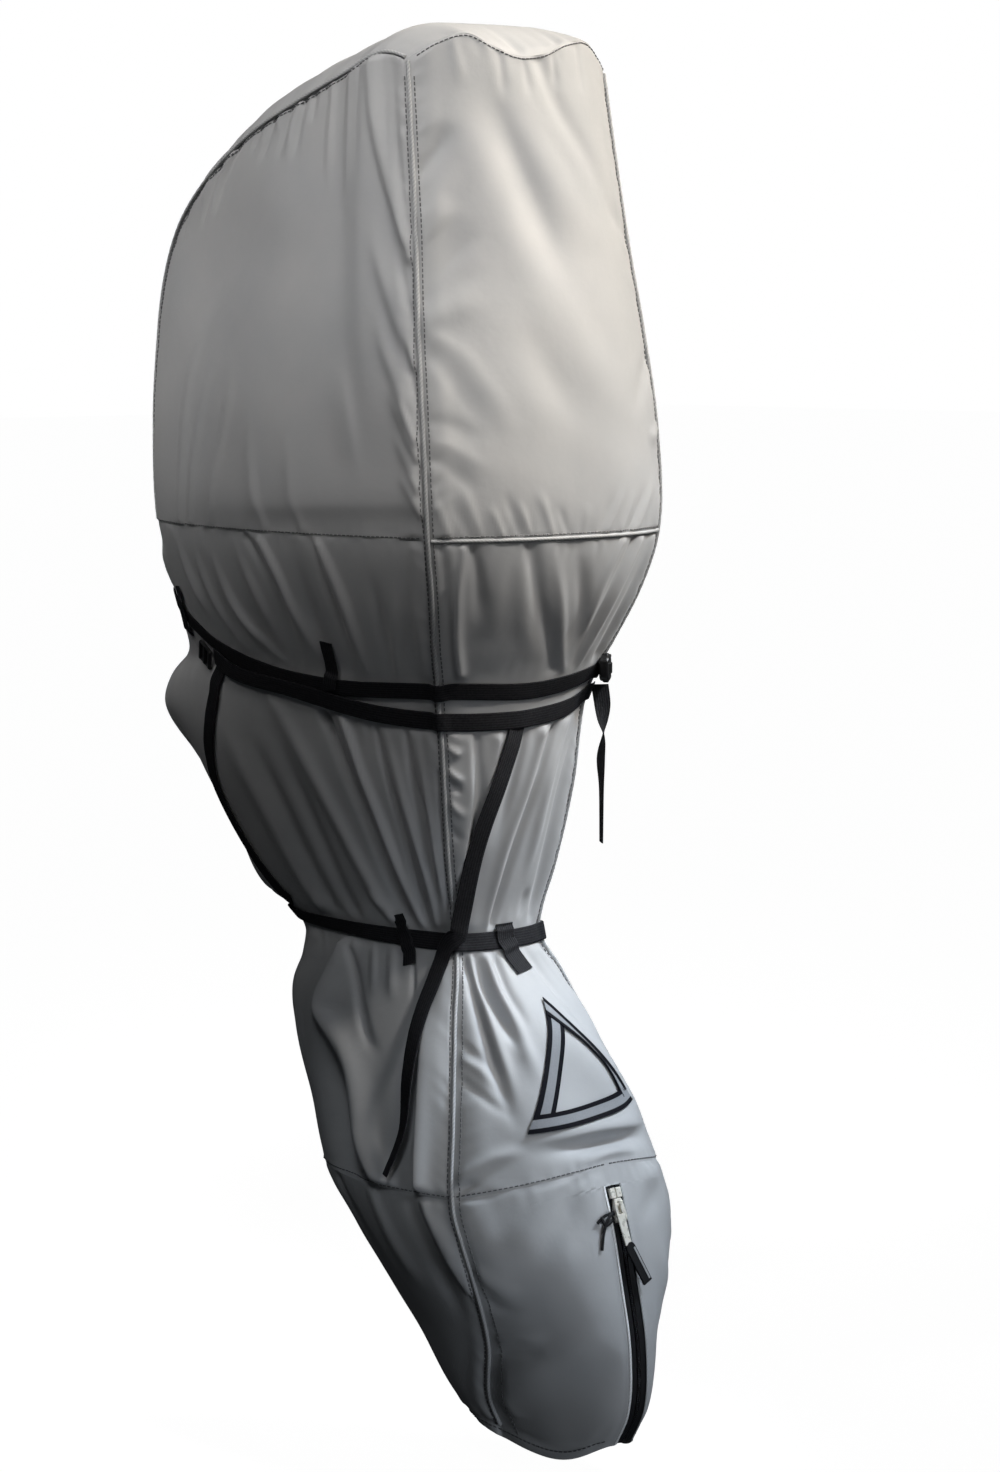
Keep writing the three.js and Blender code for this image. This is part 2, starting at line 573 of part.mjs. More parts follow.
// Panels of the leg and boot; along their edges the thickness points the same way as their neighbours'.
function addRingPanel(name, columns, rows, room, girthAt = (i) => columns[i]) {
  const lastColumn = columns.length - 1;
  const lastRow = rows.length - 1;
  const spots = makeGrid(lastColumn, lastRow, (i, j) => {
    const girth = girthAt(i, rows[lastRow - j]);
    return { girth, drop: levelDrop(rows[lastRow - j], girth) };
  });
  const grid = makeGrid(lastColumn, lastRow, (i, j) => clothPoint(spots[i][j].girth, spots[i][j].drop));
  const inner = gridNormals(grid);
  const normals = makeGrid(lastColumn, lastRow, (i, j) => {
    const onEdge = i === 0 || j === 0 || i === lastColumn || j === lastRow;
    return onEdge ? outward(spots[i][j].girth, spots[i][j].drop) : inner[i][j];
  });
  addPanel(name, grid, room, normals);
}

addRingPanel('leg_port', girths.port, legDrops, { right: piped });
addRingPanel('leg_aft', girths.aft, legDrops, { left: piped, right: piped, top: piped });
addRingPanel('leg_starboard', girths.starboard, legDrops, { left: piped });

const bootSide = spread(bootMesh.side, 1, 2, towardsCorner.side);
addRingPanel('boot_port', bootSide.map((girth) => -girth).reverse(), bootDrops, { right: piped });
addRingPanel('boot_starboard', bootSide, bootDrops, { left: piped });

// The zip keeps its width all the way down, so the aft panels of the boot start beside it.
const bootAft = spread(bootMesh.aft, 0, 1);
const besideZip = (share, drop) => THREE.MathUtils.lerp(zip.half / sectionAt(drop).aftX, 1, share);
addRingPanel('boot_aft_port', bootAft, bootDrops, { left: piped }, (i, drop) => (
  -besideZip(bootAft[bootMesh.aft - i], drop)
));
addRingPanel('boot_aft_starboard', bootAft, bootDrops, { right: piped }, (i, drop) => (
  besideZip(bootAft[i], drop)
));

// Piping lies in the seams, a little proud of the cloth.
const trimEnds = (points) => {
  const trimmed = points.map((point) => point.clone());
  const last = trimmed.length - 1;
  trimmed[0].add(trimmed[1].clone().sub(trimmed[0]).setLength(piping.trim));
  trimmed[last].add(trimmed[last - 1].clone().sub(trimmed[last]).setLength(piping.trim));
  return trimmed;
};
const addPiping = (name, points) => {
  addMesh(name, tubeGeometry(trimEnds(points), piping.radius, piping.sides), piping);
};

const hoodCornerDrops = spread(mesh.hoodRows, seamPlace(0).y, drops.hem);
const cornerDrops = [...hoodCornerDrops, ...legDrops.slice(1), ...bootDrops.slice(1)];
const cornerLine = cornerDrops.map((drop) => (
  ringPoint(-1, drop).addScaledVector(outward(-1, drop), piping.proud)
));
const crownLine = Array.from({ length: seamRowCount + 1 }, (_, row) => {
  const place = seamPlace(row);
  const edge = placeOnSide(place);
  const away = outward(-1 - place.x / crownSeam.span, place.y).add(crownNormals[0][row]).normalize();
  return edge.addScaledVector(away, piping.proud);
});
const hemLine = girths.aft.map((girth) => clothPoint(girth, drops.hem, piping.proud));
addPiping('piping_corner_port', cornerLine);
addPiping('piping_corner_starboard', mirrorLine(cornerLine));
addPiping('piping_crown_port', crownLine);
addPiping('piping_crown_starboard', mirrorLine(crownLine));
addPiping('piping_hem_aft', hemLine);

// Belts go round the cover, raised where they cross the piping of a corner.
const belt = { hump: 4.4, humpReach: 7, rows: 2 };
const uncut = 0.01;
function beltLift(girth, drop) {
  const away = cornerDistance(girth, drop) / belt.humpReach;
  return webbing.clear + belt.hump * Math.exp(-(away ** 2));
}

function addBelt(name, path, columns, extraLift) {
  const grid = makeGrid(columns.length - 1, belt.rows, (i, j) => {
    const drop = beltDrop(path, columns[i]) + webbing.width * (0.5 - j / belt.rows);
    return clothPoint(columns[i], drop, beltLift(columns[i], drop) + extraLift(columns[i]) + webbing.thick);
  });
  const room = { left: plainSeam, right: plainSeam, foot: uncut, top: uncut };
  addMesh(name, sheetGeometry(drawBack(grid, room), gridNormals(grid), webbing.thick), webbing);
}

const allGirths = [...girths.port, ...girths.aft.slice(1), ...girths.starboard.slice(1)];
const layer = webbing.thick + webbing.clear;
const strand = { start: lowerStrand[0].girth, climbFrom: 1.06, climbTo: 1.16, leastStep: 0.01 };
const pastStart = (girth) => girth > strand.start + strand.leastStep && girth <= 1;
addBelt('belt_upper', upperBelt, allGirths, () => 0);
addBelt('belt_lower_strand', lowerStrand, [strand.start, ...allGirths.filter(pastStart)], (girth) => (
  layer * THREE.MathUtils.smoothstep(-girth, strand.climbFrom, strand.climbTo)
));
addBelt('belt_ankle', ankleBelt, allGirths, () => 0);

// A strap lies along a line of the cloth, or over a belt, and stands on edge where it twists.
const strap = { hump: 4.4, humpReach: 14, clear: 2.6, flatClear: 0.9, rowSteps: 3, beltFrom: 12, beltTo: 24 };
function addStrap(name, rows, liftAt) {
  const at = tableCurve(rows.map((row, k) => ({ ...row, step: k })), 'step', ['girth', 'drop', 'twist']);
  const steps = (rows.length - 1) * strap.rowSteps;
  const places = Array.from({ length: steps + 1 }, (_, k) => at((k / steps) * (rows.length - 1)));
  const centres = places.map((place) => clothPoint(place.girth, place.drop, liftAt(place)));
  const grid = [[], []];
  places.forEach((place, k) => {
    const forward = centres[Math.max(k - 1, 0)].clone().sub(centres[Math.min(k + 1, steps)]).normalize();
    const away = outward(place.girth, place.drop);
    const across = forward.clone().cross(away).normalize();
    across.applyAxisAngle(forward, THREE.MathUtils.degToRad(place.twist));
    grid[0].unshift(centres[k].clone().addScaledVector(across, -webbing.width / 2));
    grid[1].unshift(centres[k].clone().addScaledVector(across, webbing.width / 2));
  });
  addMesh(name, sheetGeometry(grid, gridNormals(grid), webbing.thick), webbing);
}

function strapLift({ girth, drop, twist }) {
  const hump = strap.hump * Math.exp(-((cornerDistance(girth, drop) / strap.humpReach) ** 2));
  const fromBelt = Math.abs(drop - ankleBelt[0].drop);
  const overBelt = layer * (1 - THREE.MathUtils.smoothstep(fromBelt, strap.beltFrom, strap.beltTo));
  const onEdge = (webbing.width / 2) * Math.sin(THREE.MathUtils.degToRad(Math.abs(twist)));
  return strap.clear + webbing.thick + hump + overBelt + onEdge;
}
addStrap('slant_strap', slantStrap, strapLift);
addStrap('front_strap', frontStrap, () => strap.flatClear + webbing.thick);

// Belt loops start on the cloth above a belt, pass over it and end on the cloth below.
for (const loop of beltLoops) {
  const centre = beltDrop(loop.belt, loop.girth);
  const half = webbing.width / 2 + loop.lean + loopShape.clear;
  const steps = [-half - loopShape.slope, -half, half, half + loopShape.slope];
  const inside = steps.filter((step) => step < loop.below - loopShape.end);
  const reaches = [-loop.above, ...inside, loop.below];
  const grid = makeGrid(loopShape.columns, reaches.length - 1, (i, j) => {
    const reach = reaches[reaches.length - 1 - j];
    const drop = centre + reach;
    const perGirth = Math.abs(loop.girth) <= 1 ? sectionAt(drop).aftX : sideCurve(drop).getLength();
    const slant = loop.slant * Math.max(reach / loop.below, 0);
    const girth = loop.girth + (loopShape.width * (i / loopShape.columns - 0.5) + slant) / perGirth;
    const raised = Math.abs(reach) <= half ? layer + webbing.clear : 0;
    return clothPoint(girth, drop, webbing.clear + raised + loopShape.thick);
  });
  addMesh(loop.name, sheetGeometry(grid, gridNormals(grid), loopShape.thick), webbing);
}

// Tail of webbing hanging from the buckle.
const tailGrid = [[], []];
for (const row of [...buckleTail].reverse()) {
  const face = THREE.MathUtils.degToRad(row.face);
  const across = new THREE.Vector3(Math.cos(face), Math.sin(face), 0).multiplyScalar(webbing.width / 2);
  const centre = new THREE.Vector3(row.x, row.y, -row.drop);
  tailGrid[0].push(centre.clone().sub(across));
  tailGrid[1].push(centre.clone().add(across));
}
addMesh('buckle_tail', sheetGeometry(tailGrid, gridNormals(tailGrid), webbing.thick), webbing);

// Reflective triangle: three tapes with mitred ends.
const tapeLook = { color: 0xa9adb2, roughness: 0.35 };
const corners = triangleCorners.map((corner) => new THREE.Vector2(corner.across, corner.drop));
const middle = new THREE.Vector2();
for (const corner of corners) middle.addScaledVector(corner, 1 / corners.length);
function insetCorner(k, inset) {
  const here = corners[k];
  const a = corners[(k + 1) % 3].clone().sub(here).normalize();
  const b = corners[(k + 2) % 3].clone().sub(here).normalize();
  const half = Math.acos(a.dot(b)) / 2;
  return here.clone().addScaledVector(a.add(b).normalize(), inset / Math.sin(half));
}
const tapeNames = ['triangle_tape_left', 'triangle_tape_foot', 'triangle_tape_right'];
tapeNames.forEach((name, k) => {
  const next = (k + 1) % 3;
  const place = (i, j) => {
    const inset = (triangle.width * i) / 2;
    const from = insetCorner(k, inset);
    const to = insetCorner(next, inset);
    const cut = triangle.gap / from.distanceTo(to);
    const spot = from.lerp(to, THREE.MathUtils.lerp(cut, 1 - cut, j / triangle.steps));
    return clothPoint(spot.x / sectionAt(spot.y).aftX, spot.y, triangle.clear + triangle.thick);
  };
  const inwardFirst = middle.clone().sub(corners[k]).cross(corners[next].clone().sub(corners[k])) > 0;
  const grid = makeGrid(2, triangle.steps, (i, j) => place(inwardFirst ? 2 - i : i, triangle.steps - j));
  addMesh(name, sheetGeometry(grid, gridNormals(grid), triangle.thick), tapeLook);
});

// Zip: a tape on each side, the row of teeth between them, and the slider with its pull.
const zipDrops = bootDrops.map((drop) => levelDrop(drop, 0));
function addZipStrip(name, from, to, sunk, thick, look) {
  const last = zipDrops.length - 1;
  const grid = makeGrid(1, last, (i, j) => {
    const drop = zipDrops[last - j];
    const across = i === 0 ? from : to;
    return clothPoint(across / sectionAt(drop).aftX, drop, -sunk);
  });
  const room = { left: uncut, right: uncut, foot: plainSeam, top: zip.gap * 2 };
  addMesh(name, sheetGeometry(drawBack(grid, room), gridNormals(grid), thick), look);
}
const zipLook = { color: 0x121316, roughness: 0.7 };
const tapeEdge = zip.half - zip.gap;
addZipStrip('zip_tape_port', -tapeEdge, -zip.teethHalf - zip.gap, zip.tapeSunk, zip.tapeThick, zipLook);
addZipStrip('zip_tape_starboard', zip.teethHalf + zip.gap, tapeEdge, zip.tapeSunk, zip.tapeThick, zipLook);
addZipStrip('zip_teeth', -zip.teethHalf, zip.teethHalf, 0, zip.teethThick, zipLook);

// Places a hard piece flat on the cloth: its length runs along the given way, its depth points out.
function placeOnCloth(piece, girth, drop, lift, way) {
  const away = outward(girth, drop);
  const along = way.clone().addScaledVector(away, -way.dot(away)).normalize();
  const across = along.clone().cross(away);
  piece.quaternion.setFromRotationMatrix(new THREE.Matrix4().makeBasis(across, along, away));
  piece.position.copy(clothPoint(girth, drop, lift));
}

const upward = new THREE.Vector3(0, 0, 1);
const metalLook = { color: 0xd9d6cc, roughness: 0.3, metalness: 0.8 };

// Slider body: broad shoulders above, a narrow tail below.
const sliderShape = new THREE.Shape([
  new THREE.Vector2(-slider.waist / 2, -slider.length / 2),
  new THREE.Vector2(slider.waist / 2, -slider.length / 2),
  new THREE.Vector2(slider.width / 2, slider.shoulder),
  new THREE.Vector2(slider.width / 2, slider.length / 2),
  new THREE.Vector2(slider.width / 6, slider.cleft),
  new THREE.Vector2(-slider.width / 6, slider.cleft),
  new THREE.Vector2(-slider.width / 2, slider.length / 2),
  new THREE.Vector2(-slider.width / 2, slider.shoulder),
]);
const sliderBody = new THREE.ExtrudeGeometry(sliderShape, { depth: slider.deep, bevelEnabled: false });
const sliderMesh = addMesh('zip_slider', sliderBody, metalLook);
placeOnCloth(sliderMesh, 0, slider.top + slider.length / 2, slider.clear, upward);

// Pull: a metal tab with a slot, then a bare black tag.
const pullShape = new THREE.Shape([
  new THREE.Vector2(-pull.width / 2, 0),
  new THREE.Vector2(-pull.foot / 2, -pull.length),
  new THREE.Vector2(pull.foot / 2, -pull.length),
  new THREE.Vector2(pull.width / 2, 0),
]);
const slot = new THREE.Path();
slot.absellipse(0, -pull.holeLength, pull.holeWidth / 2, pull.holeLength / 2, 0, Math.PI * 2);
pullShape.holes.push(slot);
const pullCut = { depth: pull.thick, bevelEnabled: false, curveSegments: roundSegments };
const pullGeometry = new THREE.ExtrudeGeometry(pullShape, pullCut);
const pullLift = slider.clear + slider.deep + cloth.seamGap;
const pullWay = new THREE.Vector3(-pull.lean, 0, 1);
const pullMesh = addMesh('zip_pull', pullGeometry, metalLook);
placeOnCloth(pullMesh, 0, pull.top, pullLift, pullWay);

const tagShape = new THREE.Shape();
const tagRound = pullTag.width / 2;
tagShape.moveTo(-tagRound, -tagRound);
tagShape.absarc(0, -tagRound, tagRound, Math.PI, 0, true);
tagShape.lineTo(tagRound, -pullTag.length);
tagShape.lineTo(-tagRound, -pullTag.length);
const tagCut = { depth: pullTag.thick, bevelEnabled: false, curveSegments: roundSegments };
const tagGeometry = new THREE.ExtrudeGeometry(tagShape, tagCut);
const tagWay = new THREE.Vector3(-pullTag.lean, 0, 1);
const tagMesh = addMesh('zip_tag', tagGeometry, zipLook);
placeOnCloth(tagMesh, 0, pull.top + pull.length, pullLift, tagWay);
pullMesh.updateMatrix();
tagMesh.position.set(0, -pull.length - cloth.seamGap, 0).applyMatrix4(pullMesh.matrix);

// Ribbon beside the slider: a flat strip with a forked end.
const ribbonShape = new THREE.Shape([
  new THREE.Vector2(-ribbon.width / 2, 0),
  new THREE.Vector2(-ribbon.width / 2, -ribbon.length),
  new THREE.Vector2(0, ribbon.fork - ribbon.length),
  new THREE.Vector2(ribbon.width / 2, -ribbon.length),
  new THREE.Vector2(ribbon.width / 2, 0),
]);
const ribbonGeometry = new THREE.ExtrudeGeometry(ribbonShape, { depth: ribbon.thick, bevelEnabled: false });
const ribbonWay = new THREE.Vector3(-ribbon.lean, 0, 1);
const ribbonMesh = addMesh('zip_ribbon', ribbonGeometry, zipLook);
placeOnCloth(ribbonMesh, ribbon.girth, ribbon.top, ribbon.clear, ribbonWay);

// Side-release buckle at the starboard end of the upper belt, and the ladder lock at its port end.
const buckleShape = new THREE.Shape([
  new THREE.Vector2(-buckle.width / 2, -buckle.length / 2),
  new THREE.Vector2(buckle.width / 2, -buckle.length / 2),
  new THREE.Vector2(buckle.width / 2, -buckle.notch),
  new THREE.Vector2(buckle.width / 2 - buckle.notch, 0),
  new THREE.Vector2(buckle.width / 2, buckle.notch),
  new THREE.Vector2(buckle.nose / 2, buckle.length / 2),
  new THREE.Vector2(-buckle.nose / 2, buckle.length / 2),
  new THREE.Vector2(-buckle.width / 2, buckle.notch),
  new THREE.Vector2(-buckle.width / 2 + buckle.notch, 0),
  new THREE.Vector2(-buckle.width / 2, -buckle.notch),
]);
const buckleGeometry = new THREE.ExtrudeGeometry(buckleShape, { depth: buckle.deep, bevelEnabled: false });
const beltWay = (path, girth) => {
  const step = 0.02;
  const ahead = ringPoint(girth + step, beltDrop(path, girth + step));
  return ahead.sub(ringPoint(girth - step, beltDrop(path, girth - step))).normalize();
};
const plasticLook = { color: 0x101114, roughness: 0.45 };
const buckleLift = webbing.clear + belt.hump + layer - cloth.seamGap;
const buckleMesh = addMesh('buckle', buckleGeometry, plasticLook);
placeOnCloth(buckleMesh, buckle.girth, buckle.drop, buckleLift, beltWay(upperBelt, buckle.girth));

// The lock's profile: a plate with three bars across it.
const lockTop = ladderLock.plate + ladderLock.bar;
const lockOutline = ladderBars.flatMap(({ from, to }) => [
  new THREE.Vector2(from, ladderLock.plate),
  new THREE.Vector2(from, lockTop),
  new THREE.Vector2(to, lockTop),
  new THREE.Vector2(to, ladderLock.plate),
]);
lockOutline.at(0).y = 0;
lockOutline.at(-1).y = 0;
const lockCut = { depth: ladderLock.width, bevelEnabled: false };
const lockGeometry = new THREE.ExtrudeGeometry(new THREE.Shape(lockOutline), lockCut);
lockGeometry.translate(0, 0, -ladderLock.width / 2).rotateX(Math.PI / 2).rotateZ(Math.PI / 2);
const lockMesh = addMesh('ladder_lock', lockGeometry, plasticLook);
const lockWay = beltWay(lowerStrand, strand.start);
placeOnCloth(lockMesh, ladderLock.girth, ladderLock.drop, ladderLock.lift, lockWay);

export default cover;
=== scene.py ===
# Outboard motor cover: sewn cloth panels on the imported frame, with piping, webbing, a triangle and a zip.
import math

import bmesh
import bpy
import numpy as np
from mathutils import Matrix, Vector


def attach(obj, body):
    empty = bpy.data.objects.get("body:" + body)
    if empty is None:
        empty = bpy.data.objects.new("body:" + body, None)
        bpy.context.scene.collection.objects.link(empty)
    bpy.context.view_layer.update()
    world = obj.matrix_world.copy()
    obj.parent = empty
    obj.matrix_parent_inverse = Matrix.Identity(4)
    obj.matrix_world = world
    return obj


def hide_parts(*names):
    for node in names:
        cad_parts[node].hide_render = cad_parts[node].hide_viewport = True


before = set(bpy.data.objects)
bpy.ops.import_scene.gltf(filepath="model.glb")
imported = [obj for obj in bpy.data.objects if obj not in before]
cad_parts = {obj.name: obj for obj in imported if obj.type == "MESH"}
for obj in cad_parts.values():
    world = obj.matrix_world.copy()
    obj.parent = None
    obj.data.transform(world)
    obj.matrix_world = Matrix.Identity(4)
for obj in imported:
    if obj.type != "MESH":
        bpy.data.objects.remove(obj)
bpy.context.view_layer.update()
scene = bpy.context.scene
print("frame loaded:", len(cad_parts), "nodes")

# camera at the photograph's angle
cameraView = {
    "place": (-2.6187, -2.9446, -0.3189),
    "heading": 42.0,  # degrees from forward towards starboard
    "pitch": -6.4345,
    "lens": 88.04,
    "sensor": 36.0,
}
cameraData = bpy.data.cameras.new("photoCamera")
cameraData.lens = cameraView["lens"]
cameraData.sensor_width = cameraView["sensor"]
camera = bpy.data.objects.new("photoCamera", cameraData)
camera.location = cameraView["place"]
camera.rotation_euler = (math.radians(90 + cameraView["pitch"]), 0, -math.radians(cameraView["heading"]))
scene.collection.objects.link(camera)
scene.camera = camera

# plan of the cover in mm; a drop is measured down from crownRise above the origin
mm = 0.001
coverShape = {
    "crownRise": 7.2,
    "hem": 545,
    "bootSeam": 1246,
    "floor": 1516,
    "aftRound": 2.6,
    "noseRound": 3.2,
    "beamAt": 0.45,
    "sideSteps": 240,
    "dropStep": 2,
    "bootRise": 28,  # the boot seam rises across the aft panel
    "riseFrom": 1150,
    "riseTo": 1330,
    "hemSag": 22,  # the foot hem hangs lower on both sides of the zip
    "sagGirth": 0.75,
    "sagSpread": 0.3,
    "sagFrom": 1440,
    # drop, half width at the aft corners, their y, swell of the aft panel, half beam, nose y
    "sections": [
        (0, 138, -42, 38, 168, 430),
        (140, 146, -62, 41, 180, 442),
        (235, 153, -76, 43, 188, 446),
        (325, 162, -90, 45, 199, 450),
        (430, 169, -105, 47, 208, 456),
        (545, 167, -110, 46, 206, 452),
        (605, 152, -99, 43, 190, 441),
        (665, 130, -78, 36, 165, 436),
        (697, 116, -66, 32, 151, 438),
        (730, 106, -57, 30, 144, 480),
        (765, 100, -55, 28, 138, 498),
        (820, 94, -52, 26, 129, 450),
        (917, 76, -40, 21, 105, 374),
        (965, 63, -33, 18, 89, 335),
        (992, 60, -33, 17, 83, 275),
        (1032, 76, -51, 30, 98, 258),
        (1060, 87, -61, 52, 110, 264),
        (1110, 106, -81, 72, 129, 238),
        (1170, 128, -104, 85, 149, 202),
        (1257, 151, -130, 92, 170, 148),
        (1290, 151, -144, 88, 169, 113),
        (1330, 139, -148, 93, 155, 85),
        (1410, 101, -130, 127, 113, 35),
        (1480, 79, -108, 146, 87, -12),
        (1516, 62, -108, 128, 68, -45),
    ],
}
hem, bootSeam, floorDrop = [coverShape[name] for name in ("hem", "bootSeam", "floor")]


# smooth curve through rows of (place, value, ...)
def smoothTable(rows):
    table = np.array(rows, float)
    places = table[:, 0]
    values = table[:, 1:]
    steps = np.diff(values, axis=0) / np.diff(places)[:, None]
    slopes = np.vstack([steps[:1], (steps[1:] + steps[:-1]) / 2, steps[-1:]])

    def at(place):
        place = np.clip(np.asarray(place, float), places[0], places[-1])
        k = np.clip(np.searchsorted(places, place, side="right") - 1, 0, len(places) - 2)
        span = (places[k + 1] - places[k])[..., None]
        t = (place - places[k])[..., None] / span
        rise = values[k + 1] - values[k]
        start = slopes[k] * span
        end = slopes[k + 1] * span
        return values[k] + t * (start + t * (3 * rise - 2 * start - end + t * (start + end - 2 * rise)))

    return at


def smoothStep(value, low, high):
    t = np.clip((value - low) / (high - low), 0, 1)
    return t * t * (3 - 2 * t)


def unit(vectors):
    return vectors / np.maximum(np.linalg.norm(vectors, axis=-1, keepdims=True), 1e-9)


# a bump that is 1 at no distance and falls off over its reach
def bell(distance, reach):
    return np.exp(-((distance / reach) ** 2))


sectionAt = smoothTable(coverShape["sections"])


# the side of every section, from the aft corner to the nose, at even steps of its length
def traceSides():
    drops = np.arange(0, coverShape["floor"] + coverShape["dropStep"], coverShape["dropStep"])
    section = sectionAt(drops)
    aftX, aftY, beamX, noseY = [section[:, k, None] for k in (0, 1, 3, 4)]
    steps = coverShape["sideSteps"]
    power = 2 / coverShape["noseRound"]
    angle = math.pi / 2 * np.linspace(0, 1, steps + 1) ** (1 / power)
    along = np.sin(angle) ** power
    across = np.clip(np.cos(angle), 0, 1) ** power
    across[-1] = 0
    widening = 1 - (1 - np.minimum(along / coverShape["beamAt"], 1)) ** 2
    line = np.stack([-(aftX + (beamX - aftX) * widening) * across, aftY + along * (noseY - aftY)], -1)
    strides = np.linalg.norm(np.diff(line, axis=1), axis=-1)
    reached = np.concatenate([np.zeros((len(drops), 1)), np.cumsum(strides, axis=1)], axis=1)
    even = np.empty_like(line)
    for row in range(len(drops)):
        places = np.linspace(0, reached[row, -1], steps + 1)
        for k in range(2):
            even[row, :, k] = np.interp(places, reached[row], line[row, :, k])
    return even, reached[:, -1]


sideLines, sideLengths = traceSides()


def sideLength(drop):
    return np.interp(drop / coverShape["dropStep"], np.arange(len(sideLengths)), sideLengths)


def sidePlace(share, drop):
    row = np.clip(drop / coverShape["dropStep"], 0, len(sideLengths) - 1.001)
    column = np.clip(share, 0, 1) * coverShape["sideSteps"]
    r = row.astype(int)
    c = np.minimum(column.astype(int), coverShape["sideSteps"] - 1)
    byRow = (row - r)[..., None]
    byColumn = (column - c)[..., None]
    near = sideLines[r, c] * (1 - byColumn) + sideLines[r, c + 1] * byColumn
    below = sideLines[r + 1, c] * (1 - byColumn) + sideLines[r + 1, c + 1] * byColumn
    return near * (1 - byRow) + below * byRow


# girth runs from -1 to 1 across the aft panel, and on to -2 or 2 along a side to the nose
def ringPoint(girth, drop):
    girth, drop = np.broadcast_arrays(np.asarray(girth, float), np.asarray(drop, float))
    section = sectionAt(drop)
    onAft = np.abs(girth) <= 1
    swell = section[..., 2] * (1 - np.minimum(np.abs(girth), 1) ** coverShape["aftRound"])
    side = sidePlace(np.abs(girth) - 1, drop)
    x = np.where(onAft, section[..., 0] * girth, -np.sign(girth) * side[..., 0])
    y = np.where(onAft, section[..., 1] - swell, side[..., 1])
    return np.stack([x, y, -drop], -1)


# steps along the surface for the direction away from it
probe = {"girth": 0.01, "drop": 3}


def outward(girth, drop):
    ahead = np.minimum(girth + probe["girth"], 2)
    behind = np.maximum(girth - probe["girth"], -2)
    right = ringPoint(ahead, drop) - ringPoint(behind, drop)
    up = ringPoint(girth, drop - probe["drop"]) - ringPoint(girth, drop + probe["drop"])
    return unit(np.cross(right, up))


# points lifted off the bare section by some mm, and the directions away from it
def lifted(girth, drop, lift):
    away = outward(girth, drop)
    return ringPoint(girth, drop) + away * np.asarray(lift)[..., None], away


# mm around the section, from the aft centre or, on a side, from the corner
def girthLength(girth, drop):
    onAft = girth * sectionAt(drop)[..., 0]
    return np.where(np.abs(girth) <= 1, onAft, (np.abs(girth) - 1) * sideLength(drop))


def cornerDistance(girth, drop):
    onAft = (1 - np.abs(girth)) * sectionAt(drop)[..., 0]
    return np.where(np.abs(girth) <= 1, onAft, girthLength(girth, drop))


def levelDrop(drop, girth):
    arch = np.maximum(1 - girth**2, 0)
    above = smoothStep(drop, coverShape["riseFrom"], bootSeam)
    below = 1 - smoothStep(drop, bootSeam, coverShape["riseTo"])
    lobe = bell(np.abs(girth) - coverShape["sagGirth"], coverShape["sagSpread"])
    sag = coverShape["hemSag"] * lobe * smoothStep(drop, coverShape["sagFrom"], floorDrop)
    return drop - coverShape["bootRise"] * arch * np.where(drop < bootSeam, above, below) + sag


def toFrame(points):
    return (points + np.array([0, 0, coverShape["crownRise"]])) * mm


# belts as (girth, drop) along their middle
belts = {
    "width": 20,
    "thick": 1.6,
    "clear": 0.9,
    "hump": 4.4,  # how far a belt rises over a piped corner
    "humpReach": 7,
    "flat": (9, 22),  # mm from a belt's middle over which the folds come back
    "upper": [
        (-2, 624), (-1.76, 638), (-1.69, 658), (-1.59, 684), (-1.26, 711), (-1, 709), (0, 712),
        (0.84, 700), (1, 697), (1.3, 696), (1.6, 680), (1.76, 640), (2, 624),
    ],
    "lower": [
        (-1.62, 692), (-1.57, 704), (-1.33, 720), (-1.09, 740), (-1, 742), (-0.73, 744),
        (0.44, 738), (0.8, 729), (1, 720),
    ],
    "ankle": [(-2, 990), (2, 990)],
}
beltDrops = {name: smoothTable(belts[name]) for name in ("upper", "lower", "ankle")}


def beltDrop(name, girth):
    return beltDrops[name](girth)[..., 0]


# folds fade towards the belts, where the cloth is held flat
def beltRoom(girth, drop):
    room = np.ones_like(drop)
    for name in beltDrops:
        room = room * smoothStep(np.abs(drop - beltDrop(name, girth)), *belts["flat"])
    return room


def resample(line, count):
    table = smoothTable([(k, *spot) for k, spot in enumerate(line)])
    return table(np.linspace(0, len(line) - 1, count))


# mm along a line up to each of its points
def lengthAlong(line):
    return np.concatenate([[0], np.cumsum(np.linalg.norm(np.diff(line, axis=0), axis=1))])


# points of a line, and the directions given along it, at places in mm
def spotsAlong(line, away, places):
    reached = lengthAlong(line)
    spots, normals = [
        np.stack([np.interp(places, reached, rows[:, k]) for k in range(3)], -1)
        for rows in (line, away)
    ]
    return spots, unit(normals)


# mm from a corner or a seam over which its hold on a fold ends
heldReach = {"corner": (5, 14), "seam": (4, 14)}


# 1 where a seam, a belt or a hem holds the cloth, 0 where it is free
def heldAt(girth, drop):
    free = smoothStep(cornerDistance(girth, drop), *heldReach["corner"]) * beltRoom(girth, drop)
    for level in (hem, bootSeam):
        free = free * smoothStep(np.abs(drop - level), *heldReach["seam"])
    toSeam = crownSeamDistance((np.abs(girth) - 1) * crownSeam["span"], drop)[0]
    toSeam = np.where(np.abs(girth) < 1, np.abs(drop - aftSeamDrop(girth)), toSeam)
    return 1 - free * smoothStep(toSeam, *heldReach["seam"])


# creases: steps between two spots, reach in widths, share that fades, narrowing where held
creaseForm = {"steps": 5, "reach": 3, "fade": 0.45, "pinch": 0.45}


